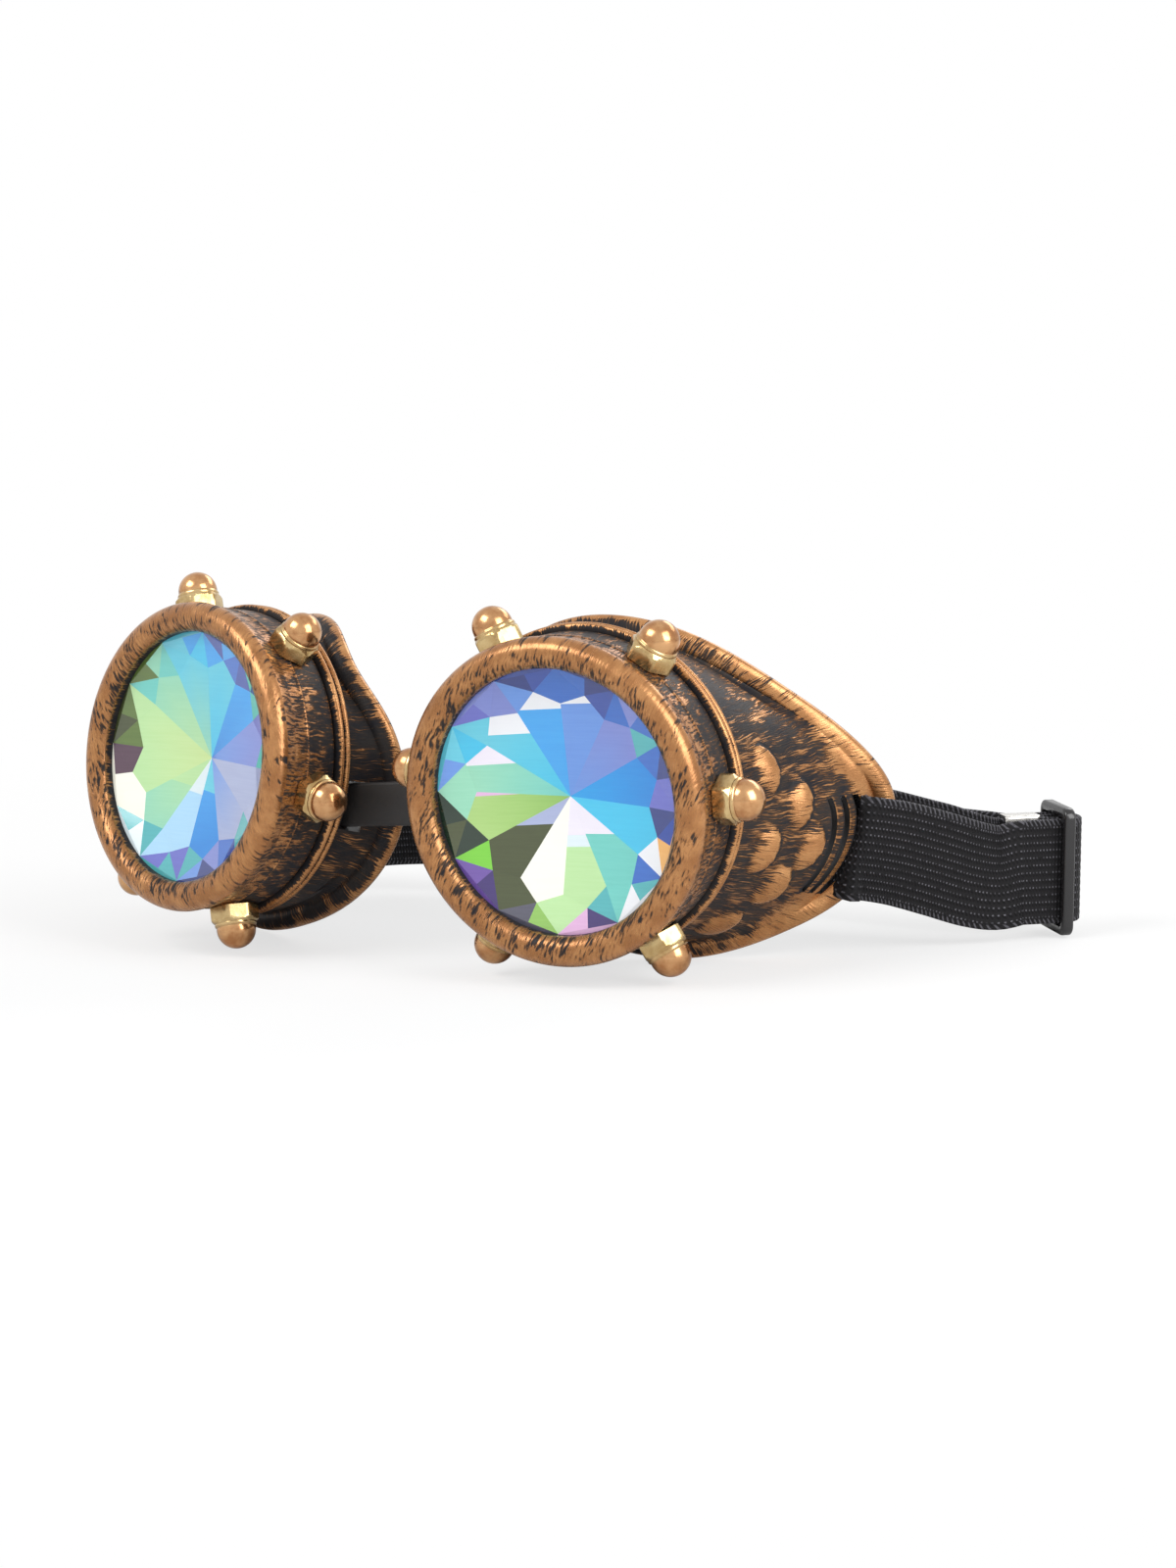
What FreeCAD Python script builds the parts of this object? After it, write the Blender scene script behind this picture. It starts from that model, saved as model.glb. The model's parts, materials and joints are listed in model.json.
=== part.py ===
"""Steampunk goggles: two eye cups with screw-on lens rings, a nose band and an elastic head strap.

Lengths are in millimetres. The part stands with +Z up and looks along -Y, and its origin is at the
bottom centre of its box. Each cup is modelled in a frame of its own: x points to the temple, y points
back along the lens axis and z points up, with the origin in the middle of the lens ring's opening.
"""
import FreeCAD, Part
import math
import os

from FreeCAD import Placement, Rotation, Vector

# Lens
LENS_DIAMETER = 50.0
LENS_EDGE = 2.5
LENS_DEPTH = 6.8
LENS_HOLLOW = 5.3
LENS_FACETS = 12
# Where the facets' corners lie, as shares of the lens radius
LENS_STAR_SHARE = 0.668
LENS_KITE_SHARE = 0.764
LENS_GIRDLE_SHARE = 0.928
LENS_AXIAL_FIT = 0.05
LENS_RADIAL_FIT = 0.3

# Lens ring
RING_OPENING = 46.5
RING_CREST = 2.2
RING_LIP_CHAMFER = 0.4
RING_LIP_BACK = 1.2
RING_BEAD_STEP = 0.7
RING_WALL = 2.05
RING_LENGTH = 12.4
THREAD_DEPTH = 0.65
THREAD_FIT = 0.1
THREAD_PITCH = 3.0
RING_TURNS = 2.0

# Dome nuts and their studs
NUT_FLATS = 8.0
NUT_HEX_HEIGHT = 3.2
NUT_HEIGHT = 8.0
NUT_DOME_DIAMETER = 7.3
NUT_BORE_DEPTH = 6.0
NUT_SETBACK = 8.0
STUD_DIAMETER = 5.0
STUD_FIT = 0.05
# Angles round each ring, set out by hand and so not quite even
RIGHT_NUT_ANGLES = (3.0, 59.2, 118.6, 176.0, 239.8, 304.2)
LEFT_NUT_ANGLES = (9.0, 70.0, 128.4, 187.4, 251.0, 309.2)

# Seal
SEAL_WIDTH = 1.5
SEAL_THICKNESS = 1.0

# Eye cup
COLLAR_GAP = 0.4
BEAD_WIDTH = 1.4
BEAD_HEIGHT = 1.0
FLANGE_THICKNESS = 3.0
SHELL_WALL = 2.2
SHELL_SINK = 0.6
RIM_LIP = 3.0
RIM_SETBACK = 1.2
RIM_THICKNESS = 2.0
RIM_ROUND = 0.7
# Rim outline from the upper temple end over the top and the nose and back along the bottom
RIM_OUTLINE = (
    (43.2, 46.8, -5.3),
    (37.7, 42.3, 6.2),
    (27.5, 35.8, 15.8),
    (15.0, 30.3, 24.2),
    (1.0, 26.5, 28.5),
    (-11.5, 22.4, 27.2),
    (-21.5, 19.6, 19.8),
    (-29.0, 21.3, 12.0),
    (-33.3, 23.8, 1.0),
    (-32.2, 24.8, -10.0),
    (-23.0, 24.8, -22.5),
    (-8.5, 25.4, -30.0),
    (11.5, 29.1, -32.8),
    (27.5, 35.9, -27.6),
    (37.0, 41.8, -21.0),
)

# Raised bumps on the side shield: place round the rim loop, share of the way from collar to rim
BUMP_DIAMETER = 7.2
BUMP_HEIGHT = 1.3
BUMP_SINK = 1.0
BUMP_PLACES = (
    (0.056, 0.26),
    (0.008, 0.44),
    (-0.040, 0.57),
    (-0.042, 0.24),
    (-0.086, 0.48),
    (-0.154, 0.46),
)

# Strap slots at the temple, from front to back: shares of the way to the rim at their two ends
SLOT_SHARES = ((0.68, 0.80), (0.775, 0.885), (0.87, 0.97))
SLOT_WIDTH = 2.0
SLOT_TOP_PLACE = 0.006
SLOT_BOTTOM_PLACE = -0.088
SLOT_CLEARANCE = 0.5

# Band slot at the nose
BAND_SLOT_WIDTH = 3.8
BAND_SLOT_HEIGHT = 12.8
BAND_SLOT_SETBACK = 18.1
BAND_SLOT_DROP = 5.2

# How the two cups stand
CUP_SPACING = 85.2
CUP_TOE = 8.9
RIGHT_PITCH = 1.7
LEFT_PITCH = -9.0
STAND_TILT = 3.2

# Nose band
BAND_HEIGHT = 8.0
BAND_THICKNESS = 1.8
BAND_INSIDE = 5.4
BAND_STOP_HEIGHT = 14.6
BAND_STOP_LENGTH = 2.5

# Head strap
STRAP_WIDTH = 19.0
STRAP_THICKNESS = 1.3
STRAP_GAP = 0.3
STRAP_HEADING = 50.0
STRAP_DROOP = 5.8
STRAP_SAG = 1.8
STRAP_BACK_RISE = 2.2
STRAP_BEND = 1.6
TIP_BEND = 3.5
BEND_STEPS = 4
LOOP_LENGTH = 37.2
LOOP_TAIL = 8.0
LEFT_LOOP_HEADING = 40.0
LEFT_LOOP_REACH = 10.0
LEFT_LOOP_DROOP = 4.0
LEFT_FLANK_ANGLE = 60.0
LEFT_LOOP_SLACK = 5.5
BACK_RIGHT_LEAD = 20.0
BACK_LEFT_LEAD = 35.0
BACK_STEPS = 16

# Strap slider
SLIDER_CLEARANCE = 0.2
SLIDER_BAR = 2.2
SLIDER_BAR_THICKNESS = 1.8
SLIDER_RAIL = 1.9

# Metal crimps on the strap's two ends
CRIMP_LENGTH = 7.5
CRIMP_SHEET = 0.5
CRIMP_INSET = 0.5

# Sizes that follow from those above
LENS_RADIUS = LENS_DIAMETER / 2
LENS_STAR_RADIUS = LENS_STAR_SHARE * LENS_RADIUS
LENS_KITE_RADIUS = LENS_KITE_SHARE * LENS_RADIUS
LENS_GIRDLE_RADIUS = LENS_GIRDLE_SHARE * LENS_RADIUS
OPENING_RADIUS = RING_OPENING / 2
POCKET_RADIUS = LENS_RADIUS + LENS_RADIAL_FIT
RING_BORE_RADIUS = POCKET_RADIUS + THREAD_DEPTH
RING_RADIUS = RING_BORE_RADIUS + RING_WALL
RING_BEAD_RADIUS = RING_RADIUS + RING_BEAD_STEP
LENS_FRONT = RING_LIP_BACK + LENS_AXIAL_FIT
SEAL_FRONT = LENS_FRONT + LENS_EDGE + LENS_AXIAL_FIT
COLLAR_FRONT = SEAL_FRONT + SEAL_THICKNESS
COLLAR_RADIUS = RING_BORE_RADIUS - THREAD_FIT
THREAD_BACK = COLLAR_FRONT + RING_TURNS * THREAD_PITCH
SEAL_RADIUS = LENS_RADIUS
CUP_BORE_RADIUS = SEAL_RADIUS - SEAL_WIDTH
FLANGE_FRONT = RING_LENGTH + COLLAR_GAP
FLANGE_BACK = FLANGE_FRONT + FLANGE_THICKNESS
FLANGE_RADIUS = RING_RADIUS + RING_BEAD_STEP / 3
SHELL_FRONT = FLANGE_BACK - SHELL_SINK
SHELL_RADIUS = FLANGE_RADIUS - RING_BEAD_STEP / 2
NUT_DOME_RADIUS = NUT_DOME_DIAMETER / 2
FOLD_RADIUS = SLIDER_BAR / 2 + 2 * STRAP_GAP + 1.5 * STRAP_THICKNESS
BAR_PITCH = SLIDER_BAR_THICKNESS / 2 + STRAP_GAP + STRAP_THICKNESS / 2
SLIDER_HEIGHT = STRAP_WIDTH + 2 * (SLIDER_CLEARANCE + SLIDER_RAIL)
TAIL_START = LOOP_LENGTH - LOOP_TAIL
CRIMP_END = LOOP_LENGTH - FOLD_RADIUS
CRIMP_START = CRIMP_END - CRIMP_LENGTH
UP = Vector(0, 0, 1)
ORIGIN = Vector(0, 0, 0)
LENS_AXIS = Vector(0, 1, 0)


def turned(edges):
    """Turn a closed profile, drawn in the x-y plane, about the lens axis."""
    face = Part.Face(Part.Wire(edges))
    return face.revolve(ORIGIN, LENS_AXIS, 360)


def line(start, end):
    return Part.LineSegment(start, end).toShape()


def arc(start, middle, end):
    return Part.Arc(start, middle, end).toShape()


def path(points):
    """Straight edges from point to point."""
    return [line(a, b) for a, b in zip(points, points[1:])]


def tube(outer, inner, front, back):
    """A plain ring about the lens axis."""
    body = Part.makeCylinder(outer, back - front, Vector(0, front, 0), LENS_AXIS)
    return body.cut(Part.makeCylinder(inner, back - front, Vector(0, front, 0), LENS_AXIS))


def polar(radius, degrees, setback):
    """A point at an angle round the lens axis, measured from the temple towards the top."""
    angle = math.radians(degrees)
    return Vector(radius * math.cos(angle), setback, radius * math.sin(angle))


def solid_of(faces):
    """Close faces that share their edges into one solid that is the right way out."""
    solid = Part.Solid(Part.Shell(faces))
    if solid.Volume < 0:
        solid.reverse()
    return solid


def faceted_cone(base, depth):
    """A shallow cone of kite, rhombus and girdle facets, from a flat base to an apex behind it."""
    step = 360.0 / LENS_FACETS
    shrink = math.cos(math.radians(step / 2))
    kite_share = LENS_KITE_RADIUS / (LENS_STAR_RADIUS * shrink)
    girdle_share = (LENS_GIRDLE_RADIUS - LENS_STAR_RADIUS) / (LENS_KITE_RADIUS * shrink - LENS_STAR_RADIUS)
    # Depths that keep each four-sided facet flat
    fall = (kite_share - 1) * girdle_share
    star_depth = depth * fall / (1 + fall)
    kite_depth = depth - (depth - star_depth) * kite_share
    apex = Vector(0, base + depth, 0)
    faces = []
    girdle = []
    for k in range(LENS_FACETS):
        here = step * k
        star = polar(LENS_STAR_RADIUS, here, base + star_depth)
        next_star = polar(LENS_STAR_RADIUS, here + step, base + star_depth)
        kite = polar(LENS_KITE_RADIUS, here + step / 2, base + kite_depth)
        last_kite = polar(LENS_KITE_RADIUS, here - step / 2, base + kite_depth)
        corner = polar(LENS_GIRDLE_RADIUS, here, base)
        next_corner = polar(LENS_GIRDLE_RADIUS, here + step, base)
        girdle.append(corner)
        for outline in ((apex, star, kite, next_star), (star, last_kite, corner, kite), (kite, corner, next_corner)):
            faces.append(Part.Face(Part.makePolygon(list(outline) + [outline[0]])))
    faces.append(Part.Face(Part.makePolygon(girdle + [girdle[0]])))
    return solid_of(faces)


def lens():
    """A disc with a faceted back and a faceted hollow in its front, cut to the same pattern."""
    disc = Part.makeCylinder(LENS_RADIUS, LENS_EDGE, Vector(0, LENS_FRONT, 0), LENS_AXIS)
    back = faceted_cone(LENS_FRONT + LENS_EDGE, LENS_DEPTH - LENS_EDGE)
    return disc.fuse(back).removeSplitter().cut(faceted_cone(LENS_FRONT, LENS_HOLLOW))


def lens_ring(nut_angles):
    """The screw-on ring: rounded front bead, lens pocket, threaded bore and six stud holes."""
    bead_front = (OPENING_RADIUS + RING_BEAD_RADIUS) / 2
    inner_edge = Vector(OPENING_RADIUS, -RING_LIP_CHAMFER, 0)
    crest = Vector(bead_front, -RING_CREST, 0)
    bead = Vector(RING_BEAD_RADIUS, RING_LIP_BACK / 2, 0)
    waist = Vector(RING_RADIUS + RING_BEAD_STEP * 0.6, RING_LIP_BACK * 1.7, 0)
    wall_front = Vector(RING_RADIUS, RING_LIP_BACK * 2.7, 0)
    edges = [arc(inner_edge, crest, bead), arc(bead, waist, wall_front)]
    edges += path([
        wall_front,
        Vector(RING_RADIUS, RING_LENGTH, 0),
        Vector(RING_BORE_RADIUS, RING_LENGTH, 0),
        Vector(RING_BORE_RADIUS, SEAL_FRONT, 0),
        Vector(POCKET_RADIUS, SEAL_FRONT, 0),
        Vector(POCKET_RADIUS, RING_LIP_BACK, 0),
        Vector(OPENING_RADIUS, RING_LIP_BACK, 0),
        inner_edge,
    ])
    ring = turned(edges)
    hole_radius = STUD_DIAMETER / 2 + STUD_FIT
    for angle in nut_angles:
        start = polar(RING_BORE_RADIUS - RING_WALL, angle, NUT_SETBACK)
        ring = ring.cut(Part.makeCylinder(hole_radius, 3 * RING_WALL, start, polar(1, angle, 0)))
    return ring


def dome_nuts(nut_angles):
    """Hexagon nuts closed by a round dome, with a flat side to the front, one for each stud."""
    hex_radius = NUT_FLATS / math.sqrt(3)
    dome_centre = NUT_HEIGHT - NUT_DOME_RADIUS
    corners = [polar(hex_radius, 30 + 60 * k, 0) for k in range(7)]
    flat = Part.Face(Part.makePolygon([Vector(c.x, c.z, 0) for c in corners]))
    nut = flat.extrude(Vector(0, 0, NUT_HEX_HEIGHT))
    # A cone trims the hexagon's upper corners
    trim = (hex_radius - NUT_FLATS / 2) * 1.2
    cone_height = NUT_HEX_HEIGHT
    cone = Part.makeCone(hex_radius + cone_height - trim / 2, hex_radius - trim / 2, cone_height)
    nut = nut.common(cone)
    nut = nut.fuse(Part.makeCylinder(NUT_DOME_RADIUS, dome_centre))
    nut = nut.fuse(Part.makeSphere(NUT_DOME_RADIUS, Vector(0, 0, dome_centre)))
    nut = nut.cut(Part.makeCylinder(STUD_DIAMETER / 2 + STUD_FIT, NUT_BORE_DEPTH))
    return around_ring(nut.removeSplitter(), nut_angles, RING_RADIUS)


def nut_studs(nut_angles):
    """Short studs set in the ring's wall, which the dome nuts screw onto."""
    foot = RING_BORE_RADIUS + THREAD_FIT
    length = RING_RADIUS + NUT_BORE_DEPTH - STUD_FIT - foot
    return around_ring(Part.makeCylinder(STUD_DIAMETER / 2, length), nut_angles, foot)


def around_ring(piece, nut_angles, radius):
    """Copies of a piece that points along +Z, set radially round the ring."""
    copies = []
    for angle in nut_angles:
        seat = polar(radius, angle, NUT_SETBACK)
        outward = polar(1, angle, 0)
        copy = piece.copy()
        # The piece's own x axis goes along the lens axis, so that a flat of the nut faces the front
        side = LENS_AXIS.cross(outward)
        copy.Placement = Placement(seat, Rotation(side, LENS_AXIS, outward, "ZYX"))
        copies.append(copy)
    return Part.makeCompound(copies)


def lens_seal():
    return tube(SEAL_RADIUS, CUP_BORE_RADIUS, SEAL_FRONT, COLLAR_FRONT)


def rim_points(inward, setback):
    """The rim outline, drawn in towards the lens axis and set back along it."""
    points = []
    for x, y, z in RIM_OUTLINE:
        reach = math.hypot(x, z)
        share = (reach - inward) / reach
        points.append(Vector(x * share, y + setback, z * share))
    return points


def collar_points(radius):
    """A circle on the collar, with a point on the same ray as each point of the rim."""
    points = []
    for x, y, z in RIM_OUTLINE:
        reach = math.hypot(x, z)
        points.append(Vector(x / reach * radius, SHELL_FRONT, z / reach * radius))
    return points


def loop_parameters():
    """Distances round the rim, as shares of the whole, which every loop uses."""
    points = rim_points(0, 0)
    steps = [(b - a).Length for a, b in zip(points, points[1:] + points[:1])]
    total = sum(steps)
    shares = [0.0]
    for step in steps:
        shares.append(shares[-1] + step / total)
    return shares


def loop(points):
    """A smooth closed curve through the points."""
    curve = Part.BSplineCurve()
    curve.interpolate(Points=points, PeriodicFlag=True, Parameters=loop_parameters())
    return curve


def shield_point(place, share):
    """A point on the outside of the shell, between the collar (share 0) and the rim's neck (share 1)."""
    front = loop(collar_points(SHELL_RADIUS)).value(place % 1.0)
    back = loop(rim_points(RIM_LIP, -RIM_SETBACK)).value(place % 1.0)
    return front + (back - front) * share


def lining_point(place, share):
    """The point on the inside of the shell that goes with the one on the outside."""
    front = loop(collar_points(SHELL_RADIUS - SHELL_WALL)).value(place % 1.0)
    back = loop(rim_points(RIM_LIP + SHELL_WALL, RIM_THICKNESS)).value(place % 1.0)
    return front + (back - front) * share


def shield_frame(place, share):
    """The point there, and the unit vector out of the shield."""
    step = 0.002
    here = shield_point(place, share)
    back = shield_point(place, share + step) - shield_point(place, share - step)
    around = shield_point(place + step, share) - shield_point(place - step, share)
    back.normalize()
    outward = back.cross(around)
    outward.normalize()
    return here, outward


def shell():
    """The cup's wall from the collar to the flared rim, as a closed band of ruled surfaces."""
    loops = [
        collar_points(SHELL_RADIUS),
        rim_points(RIM_LIP, -RIM_SETBACK),
        rim_points(RIM_ROUND, -RIM_ROUND / 4),
        rim_points(0, RIM_ROUND),
        rim_points(RIM_ROUND / 2, RIM_THICKNESS),
        rim_points(RIM_LIP + SHELL_WALL, RIM_THICKNESS),
        collar_points(SHELL_RADIUS - SHELL_WALL),
    ]
    curves = [loop(points).toShape() for points in loops]
    faces = []
    for here, beyond in zip(curves, curves[1:]):
        faces.append(Part.makeRuledSurface(here, beyond))
    faces.append(Part.makeRuledSurface(curves[-1], curves[0]))
    return solid_of(faces)


def collar():
    """The collar with its thread land, and the flange behind it with a double bead on its edge."""
    middle = FLANGE_FRONT + BEAD_WIDTH
    end = middle + BEAD_WIDTH
    crown = FLANGE_RADIUS + BEAD_HEIGHT
    edges = path([
        Vector(FLANGE_RADIUS, end, 0),
        Vector(FLANGE_RADIUS, FLANGE_BACK, 0),
        Vector(CUP_BORE_RADIUS, FLANGE_BACK, 0),
        Vector(CUP_BORE_RADIUS, COLLAR_FRONT, 0),
        Vector(COLLAR_RADIUS, COLLAR_FRONT, 0),
        Vector(COLLAR_RADIUS, THREAD_BACK, 0),
        Vector(COLLAR_RADIUS - THREAD_DEPTH, THREAD_BACK, 0),
        Vector(COLLAR_RADIUS - THREAD_DEPTH, FLANGE_FRONT, 0),
        Vector(FLANGE_RADIUS, FLANGE_FRONT, 0),
    ])
    for start in (FLANGE_FRONT, middle):
        edges.append(arc(
            Vector(FLANGE_RADIUS, start, 0),
            Vector(crown, start + BEAD_WIDTH / 2, 0),
            Vector(FLANGE_RADIUS, start + BEAD_WIDTH, 0),
        ))
    return turned(edges)


def bump(place, share):
    """A shallow round dome standing out of the shield, sunk a little into its wall."""
    here, outward = shield_frame(place, share)
    half = BUMP_DIAMETER / 2
    radius = (half ** 2 + BUMP_HEIGHT ** 2) / (2 * BUMP_HEIGHT)
    centre = here - outward * (radius - BUMP_HEIGHT)
    base = math.degrees(math.asin((radius - BUMP_HEIGHT - BUMP_SINK) / radius))
    return Part.makeSphere(radius, centre, outward, base, 90, 360)


def slot_line(shares):
    """Middle, long direction and outward direction of a temple slot."""
    top = shield_point(SLOT_TOP_PLACE, shares[0])
    bottom = shield_point(SLOT_BOTTOM_PLACE, shares[1])
    middle, outward = shield_frame((SLOT_TOP_PLACE + SLOT_BOTTOM_PLACE) / 2, sum(shares) / 2)
    long_way = top - bottom
    long_way.normalize()
    outward = outward - long_way * outward.dot(long_way)
    outward.normalize()
    return middle, long_way, outward


def slot_cutter(shares):
    """A bar that cuts one temple slot through the shield."""
    middle, long_way, outward = slot_line(shares)
    length = STRAP_WIDTH + 2 * SLOT_CLEARANCE
    reach = 3 * SHELL_WALL
    bar = Part.makeBox(SLOT_WIDTH, length, 2 * reach, Vector(-SLOT_WIDTH / 2, -length / 2, -reach))
    bar.Placement = Placement(middle, Rotation(long_way.cross(outward), long_way, outward, "ZYX"))
    return bar


def band_slot_middle():
    """Middle of the nose slot, on the shell's wall."""
    reach = math.sqrt(SHELL_RADIUS ** 2 - BAND_SLOT_DROP ** 2) - SHELL_WALL / 2
    return Vector(-reach, BAND_SLOT_SETBACK, -BAND_SLOT_DROP)


def band_slot_cutter():
    middle = band_slot_middle()
    reach = 3 * SHELL_WALL
    corner = middle - Vector(reach, BAND_SLOT_WIDTH / 2, BAND_SLOT_HEIGHT / 2)
    return Part.makeBox(2 * reach, BAND_SLOT_WIDTH, BAND_SLOT_HEIGHT, corner)


def eye_cup():
    cup = shell().fuse(collar())
    for place, share in BUMP_PLACES:
        cup = cup.fuse(bump(place, share))
    for shares in SLOT_SHARES:
        cup = cup.cut(slot_cutter(shares))
    return cup.cut(band_slot_cutter())


def right_place():
    """Where the cup on the +X side stands."""
    turn = Rotation(UP, CUP_TOE).multiply(Rotation(Vector(1, 0, 0), RIGHT_PITCH))
    return Placement(Vector(CUP_SPACING / 2, 0, 0), turn)


def left_place():
    """Where the mirrored cup on the -X side stands."""
    turn = Rotation(UP, -CUP_TOE).multiply(Rotation(Vector(1, 0, 0), LEFT_PITCH))
    return Placement(Vector(-CUP_SPACING / 2, 0, 0), turn)


def on_right(point):
    return right_place().multVec(point)


def on_left(point):
    """A point of the cup's own frame, mirrored and carried to the -X side."""
    return left_place().multVec(Vector(-point.x, point.y, point.z))


def set_right(piece):
    placed = piece.copy()
    placed.transformShape(right_place().toMatrix(), True)
    return placed


def set_left(piece):
    placed = piece.mirror(ORIGIN, Vector(1, 0, 0))
    placed.transformShape(left_place().toMatrix(), True)
    return placed


def nose_band():
    """A flat band from slot to slot, with a taller stop inside each cup."""
    left_end = on_left(band_slot_middle())
    right_end = on_right(band_slot_middle())
    along = right_end - left_end
    along.normalize()
    # The band leans as much as the two cups do on average
    lean = right_place().Rotation.multVec(UP) + left_place().Rotation.multVec(UP)
    across = lean.cross(along)
    across.normalize()
    reach = SHELL_WALL + BAND_INSIDE
    start = left_end - along * reach
    length = (right_end - left_end).Length + 2 * reach
    turn = Rotation(along, across, along.cross(across), "XYZ")

    def bar(from_start, bar_length, height):
        corner = Vector(from_start, -BAND_THICKNESS / 2, -height / 2)
        block = Part.makeBox(bar_length, BAND_THICKNESS, height, corner)
        block.Placement = Placement(start, turn)
        return block

    band = bar(0, length, BAND_HEIGHT)
    band = band.fuse(bar(0, BAND_STOP_LENGTH, BAND_STOP_HEIGHT))
    band = band.fuse(bar(length - BAND_STOP_LENGTH, BAND_STOP_LENGTH, BAND_STOP_HEIGHT))
    return band.removeSplitter()


def compass(heading):
    """The level unit vector at so many degrees from +X towards +Y."""
    angle = math.radians(heading)
    return Vector(math.cos(angle), math.sin(angle), 0)


def heading_of(way):
    return math.degrees(math.atan2(way.y, way.x))


def between(a, b, share):
    return a + (b - a) * share


def leaning(a, b, share):
    """A unit vector part of the way from one to another."""
    way = between(a, b, share)
    way.normalize()
    return way


def strap_section(middle, heading, long_way):
    """A flat section of strap across its run: heading of the run, long_way across its width."""
    thick_way = long_way.cross(compass(heading))
    thick_way.normalize()
    half_width = long_way * (STRAP_WIDTH / 2)
    half_thick = thick_way * (STRAP_THICKNESS / 2)
    corners = [
        middle + half_width + half_thick,
        middle - half_width + half_thick,
        middle - half_width - half_thick,
        middle + half_width - half_thick,
    ]
    return Part.makePolygon(corners + corners[:1])


def strap_run(stations):
    """A stretch of strap through flat sections, joined by straight lines."""
    return Part.makeLoft([strap_section(*station) for station in stations], True, True)


def turn(middle, heading, end_heading, radius, long_way):
    """Stations round a level bend from one heading to another."""
    swing = (end_heading - heading + 180) % 360 - 180
    side = 90 if swing > 0 else -90
    centre = middle + compass(heading + side) * radius
    stations = []
    for k in range(BEND_STEPS + 1):
        here = heading + swing * k / BEND_STEPS
        stations.append((centre - compass(here + side) * radius, here, long_way))
    return stations


def drawn_to(stations, end, end_heading):
    """Carry a run on round a bend and then straight to its end, where it stands upright."""
    start, heading, lean = stations[-1]
    leave = start
    for _ in range(3):
        bend = turn(start, heading, heading_of(end - leave), TIP_BEND, lean)
        leave = bend[-1][0]
    halfway = (between(leave, end, 0.5), heading_of(end - leave), leaning(lean, UP, 0.85))
    return stations + bend[1:] + [halfway, (end, end_heading, UP)]


class Temple:
    """The rearmost strap slot of one cup, in the part's frame, and the rim behind it."""

    def __init__(self, carry):
        shares = SLOT_SHARES[-1]
        middle, long_way, outward = slot_line(shares)
        place = (SLOT_TOP_PLACE + SLOT_BOTTOM_PLACE) / 2
        inner = lining_point(place, 1)
        outer = loop(rim_points(0, RIM_THICKNESS)).value(place % 1.0)
        self.wall = (middle - lining_point(place, sum(shares) / 2)).dot(outward)
        ends = [lining_point(SLOT_TOP_PLACE, shares[0]), lining_point(SLOT_BOTTOM_PLACE, shares[1])]
        self.hollow = max((middle - end).dot(outward) for end in ends) - self.wall
        self.middle = carry(middle)
        self.long_way = carry(middle + long_way) - self.middle
        self.outward = carry(middle + outward) - self.middle
        self.exit = heading_of(self.outward)
        self.inner_edge = self.at_level(carry(inner))
        self.outer_edge = self.at_level(carry(outer))
        self.in_wall = self.middle - self.outward * (self.wall / 2)
        inner_mouth = self.at_level(self.middle - self.outward * self.wall)
        self.wall_way = self.inner_edge - inner_mouth
        self.wall_way.normalize()

    def at_level(self, point):
        """The point at the height of the slot's middle."""
        return Vector(point.x, point.y, self.middle.z)

    def outside(self, heading):
        """Stations from inside the wall, out through the slot and round to a heading."""
        mouth = self.middle + self.outward * STRAP_GAP
        stations = [(self.in_wall, self.exit, self.long_way)]
        return stations + turn(mouth, self.exit, heading, STRAP_BEND, self.long_way)

    def inside(self, side):
        """Stations from inside the wall, in through the slot and back along the hollow wall to the rim."""
        wall_heading = heading_of(self.wall_way)
        inward = wall_heading + side * 90
        clear = self.hollow + 2 * STRAP_GAP
        mouth = self.middle - self.outward * (self.wall + clear)
        stations = [(self.in_wall, self.exit + 180, self.long_way)]
        stations += turn(mouth, inward, wall_heading, STRAP_BEND, self.long_way)
        beside = self.inner_edge + compass(inward) * (STRAP_BEND + clear)
        behind = beside + self.wall_way * STRAP_BEND
        stations.append((behind, wall_heading, self.long_way))
        return stations


class RightLoop:
    """Plan frame of the strap's right loop: along its front run, from where it leaves the slot."""

    def __init__(self):
        self.temple = Temple(on_right)
        self.along = compass(STRAP_HEADING)
        self.inward = UP.cross(self.along)
        self.stations = self.temple.outside(STRAP_HEADING)
        self.start = self.stations[-1][0]
        self.level = self.temple.middle.z - STRAP_DROOP

    def plan(self, distance, inward):
        """A point in plan, so far along the front run and so far inside it."""
        point = self.start + self.along * distance + self.inward * inward
        return Vector(point.x, point.y, 0)

    def point(self, distance, inward, share):
        """A point of the loop, part of the way down from the slot to the slider."""
        return self.plan(distance, inward) + UP * (self.temple.middle.z - STRAP_DROOP * share)

    def plate(self, edges, height):
        """A flat outline in plan, given its height about the slider's level."""
        low = UP * (self.level - height / 2)
        return Part.Face(Part.Wire(edges)).extrude(UP * height).translated(low)

    def bar(self, start, end, near, far):
        """A rectangle in plan."""
        corners = [(start, near), (end, near), (end, far), (start, far), (start, near)]
        return path([self.plan(*corner) for corner in corners])


def strap_front_run(right):
    """The stretch that shows: from the temple slot to just short of the slider."""
    lean = right.temple.long_way
    stations = list(right.stations)
    for share in (0.2, 0.45, 0.7, 0.85, 1.0):
        here = right.point(TAIL_START * share, 0, share)
        # The strap hangs lowest three quarters of the way to the slider
        sag = UP * (STRAP_SAG * 256 / 27 * share ** 3 * (1 - share))
        stations.append((here - sag, STRAP_HEADING, leaning(lean, UP, min(1.0, share * 1.4))))
    return strap_run(stations)


def strap_inner_run(right):
    """The stretch from the slot, along the inside of the temple and back to the crimped end."""
    crimp = right.point(CRIMP_START, FOLD_RADIUS, 1)
    return strap_run(drawn_to(right.temple.inside(1), crimp, STRAP_HEADING))


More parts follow.
